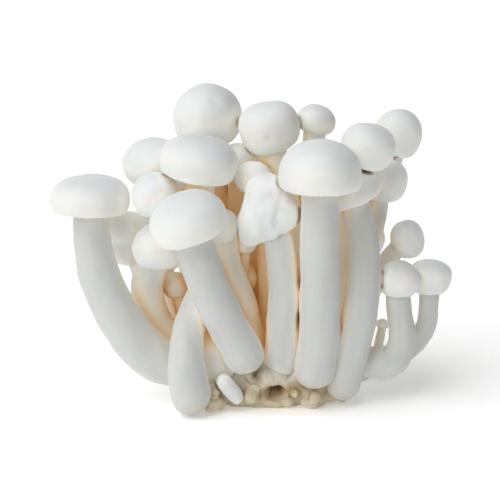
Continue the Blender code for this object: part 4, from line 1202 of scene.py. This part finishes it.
class ShimejiStage(bpy.types.PropertyGroup):
    """Camera, light and floor."""
    distance: length_property("Distance", "From the camera to its target", 0.6)
    elevation: FloatProperty(name="Elevation", description="Angle of the camera above level",
                             default=math.radians(12), subtype="ANGLE")
    lens: FloatProperty(name="Lens", description="Focal length", default=172.8, unit="CAMERA")
    floor: colour_property("Floor", "Colour of the floor", (0.97, 0.97, 0.97))
    lift: FloatProperty(name="Lift", description="Brightness that the floor has of its own", default=0.24)
    sky: FloatProperty(name="Sky", description="Strength of the light from all round", default=0.2)
    key: FloatProperty(name="Key", description="Strength of the soft light from the upper left", default=2.2)
    key_width: FloatProperty(name="Key width", description="How wide the key light looks from the bunch",
                             default=math.radians(70), subtype="ANGLE")
    side: FloatProperty(name="Side", description="Light from the left of the camera, into the gaps",
                        default=1.1, unit="POWER")


def add_light(name, kind, place, size, power):
    """A soft light that faces the bunch: SUN takes the size as an angle, AREA as a width."""
    light = bpy.data.lights.new(name, kind)
    light.energy = power
    if kind == "SUN":
        light.angle = size
    else:
        light.size = size
    lamp = bpy.data.objects.new(name, light)
    lamp.location = place
    lamp.rotation_euler = (Vector(TARGET) * MM - lamp.location).to_track_quat("-Z", "Y").to_euler()
    bpy.context.scene.collection.objects.link(lamp)


def build_row(context, row):
    """Grows each mushroom of a row and puts it in the place of its solid."""
    lines = growth_lines()
    flesh = material_named("White flesh", paint_flesh, context.scene.shimeji_flesh)
    plain, lobed = mushroom_tree(flesh), lobed_tree(flesh)
    for mushroom in row:
        line = lines[mushroom.name]
        if mushroom.name in LOBES or mushroom.name in FINGERS:
            piece = grow_lobed(lobed, mushroom, line)
        else:
            piece = grow_mushroom(plain, mushroom, line)
        if mushroom.name in SPROUTS:
            piece = add_sprout(plain, flesh, piece, SPROUTS[mushroom.name])
        if mushroom.name in PRESSES:
            press(piece, PRESSES[mushroom.name])
        soften(piece)
        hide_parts(mushroom.name)
        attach(piece, "root")
    return {"FINISHED"}


def material_named(name, paint, look):
    """A finish, painted the first time it is asked for."""
    return bpy.data.materials.get(name) or paint(look)


kept_lines = {}


def growth_lines():
    """The stem lines after the push, worked out once for all rows."""
    if not kept_lines:
        kept_lines.update(push_apart(MUSHROOMS))
    return kept_lines


class GrowsRow:
    """What the operators that grow a row of mushrooms have in common."""

    def execute(self, context):
        return build_row(context, self.row)


class GrowFrontRow(GrowsRow, bpy.types.Operator):
    """Grow the mushrooms at the front of the bunch"""
    bl_idname = "shimeji.front_row"
    bl_label = "Front row"
    row = FRONT_ROW


class GrowLeftRow(GrowsRow, bpy.types.Operator):
    """Grow the mushrooms on the left of the bunch"""
    bl_idname = "shimeji.left_row"
    bl_label = "Left row"
    row = LEFT_ROW


class GrowTopRow(GrowsRow, bpy.types.Operator):
    """Grow the mushrooms at the top of the bunch"""
    bl_idname = "shimeji.top_row"
    bl_label = "Top row"
    row = TOP_ROW


class GrowRightRow(GrowsRow, bpy.types.Operator):
    """Grow the mushrooms on the right of the bunch"""
    bl_idname = "shimeji.right_row"
    bl_label = "Right row"
    row = RIGHT_ROW


class GrowGapRow(GrowsRow, bpy.types.Operator):
    """Grow the small mushrooms in the gaps of the bunch"""
    bl_idname = "shimeji.gap_row"
    bl_label = "Small ones in the gaps"
    row = GAP_ROW


class GrowBackRow(GrowsRow, bpy.types.Operator):
    """Grow the mushrooms at the back of the bunch"""
    bl_idname = "shimeji.back_row"
    bl_label = "Back row"
    row = BACK_ROW


class GrowBase(bpy.types.Operator):
    """Grow the knobbly base that the stems stand in"""
    bl_idname = "shimeji.base"
    bl_label = "Base"

    def execute(self, context):
        brown = material_named("Grown base", paint_base, context.scene.shimeji_base)
        piece = grow_base(base_tree(brown))
        press(piece, PRESSES["base"])
        soften(piece)
        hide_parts("base")
        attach(piece, "root")
        return {"FINISHED"}


class MarkCrowding(bpy.types.Operator):
    """Measure where the bunch is crowded, for the painted warm shade, painted glow and painted seam shade
    between the stems
    """
    bl_idname = "shimeji.crowding"
    bl_label = "Crowding"

    def execute(self, context):
        names = ["grown_" + mushroom.name for mushroom in MUSHROOMS] + ["grown_base"]
        mark_crowding([bpy.data.objects[name] for name in names])
        return {"FINISHED"}


class BuildStage(bpy.types.Operator):
    """Set up the floor, the soft light and the camera"""
    bl_idname = "shimeji.stage"
    bl_label = "Stage"

    def execute(self, context):
        stage = context.scene.shimeji_stage
        build_floor(stage)
        world = bpy.data.worlds.new("soft sky")
        world.use_nodes = True
        sky = world.node_tree.nodes["Background"].inputs
        sky["Color"].default_value = (1.0, 1.0, 1.0, 1.0)
        sky["Strength"].default_value = stage.sky
        context.scene.world = world
        add_light("key", "SUN", KEY_PLACE, stage.key_width, stage.key)
        add_light("side", "AREA", SIDE_PLACE, SIDE_WIDTH, stage.side)
        camera = bpy.data.cameras.new("camera")
        camera.lens = stage.lens
        camera.sensor_width = SENSOR
        view = bpy.data.objects.new("camera", camera)
        towards = Vector((0, math.cos(stage.elevation), -math.sin(stage.elevation)))
        view.location = Vector(TARGET) * MM - towards * stage.distance
        view.rotation_euler = towards.to_track_quat("-Z", "Y").to_euler()
        context.scene.collection.objects.link(view)
        context.scene.camera = view
        context.scene.view_settings.view_transform = "Standard"
        return {"FINISHED"}


def build_floor(stage):
    """A pale floor that curves up into a backdrop behind the bunch."""
    tree = FinishTree("Pale floor")
    spot = tree.add("ShaderNodeTexCoord").output("Object")
    patches = tree.noise(spot, 0.2, 2.0)
    colour = tree.blend(tree.fade(patches, -1.0, 1.0) * 0.02, tuple(stage.floor), (0.9, 0.9, 0.9))
    surface = tree.add("ShaderNodeBsdfPrincipled", {
        "Base Color": colour, "Roughness": 0.9, "Specular IOR Level": 0.1,
        "Emission Color": (1.0, 1.0, 1.0), "Emission Strength": stage.lift})
    tree.add("ShaderNodeOutputMaterial", {"Surface": surface})
    profile = [(-FLOOR_REACH, 0.0)]
    for i in range(BEND_STEPS + 1):
        angle = TURN / 4 * i / BEND_STEPS
        profile.append((FLOOR_REACH - BEND + BEND * math.sin(angle), BEND * (1 - math.cos(angle))))
    profile.append((FLOOR_REACH, WALL_TOP))
    for name, rows in (("floor", profile[:2]), ("backdrop", profile[1:])):
        mesh = bpy.data.meshes.new(name)
        mesh.from_pydata([(x, y, z) for y, z in rows for x in (-FLOOR_REACH, FLOOR_REACH)], [],
                         [(2 * i, 2 * i + 1, 2 * i + 3, 2 * i + 2) for i in range(len(rows) - 1)])
        mesh.materials.append(tree.material)
        sheet = bpy.data.objects.new(name, mesh)
        bpy.context.scene.collection.objects.link(sheet)


class ShimejiPanel(bpy.types.Panel):
    """The bunch's pieces, in the order in which they are grown"""
    bl_idname = "VIEW3D_PT_shimeji"
    bl_label = "White shimeji bunch"
    bl_space_type = "VIEW_3D"
    bl_region_type = "UI"
    bl_category = "Shimeji"

    def draw(self, context):
        for operator in OPERATORS:
            self.layout.operator(operator.bl_idname)
        for group in ("shimeji_flesh", "shimeji_base", "shimeji_stage"):
            look = getattr(context.scene, group)
            box = self.layout.box()
            for name in look.bl_rna.properties.keys():
                if name not in ("rna_type", "name"):
                    box.prop(look, name)


GROUPS = {"shimeji_flesh": ShimejiFlesh, "shimeji_base": ShimejiBase, "shimeji_stage": ShimejiStage}
OPERATORS = (GrowFrontRow, GrowLeftRow, GrowTopRow, GrowRightRow, GrowGapRow, GrowBackRow, GrowBase,
             MarkCrowding, BuildStage)


def register():
    """Adds the settings, the operators and the panel to Blender."""
    for group in (*GROUPS.values(), *OPERATORS, ShimejiPanel):
        bpy.utils.register_class(group)
    for name, group in GROUPS.items():
        setattr(bpy.types.Scene, name, PointerProperty(type=group))


def unregister():
    """Takes them out again."""
    for name in GROUPS:
        delattr(bpy.types.Scene, name)
    for group in (ShimejiPanel, *OPERATORS, *GROUPS.values()):
        bpy.utils.unregister_class(group)


def main():
    """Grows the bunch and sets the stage."""
    register()
    for operator in OPERATORS:
        family, name = operator.bl_idname.split(".")
        getattr(getattr(bpy.ops, family), name)()


if __name__ == "__main__":
    main()
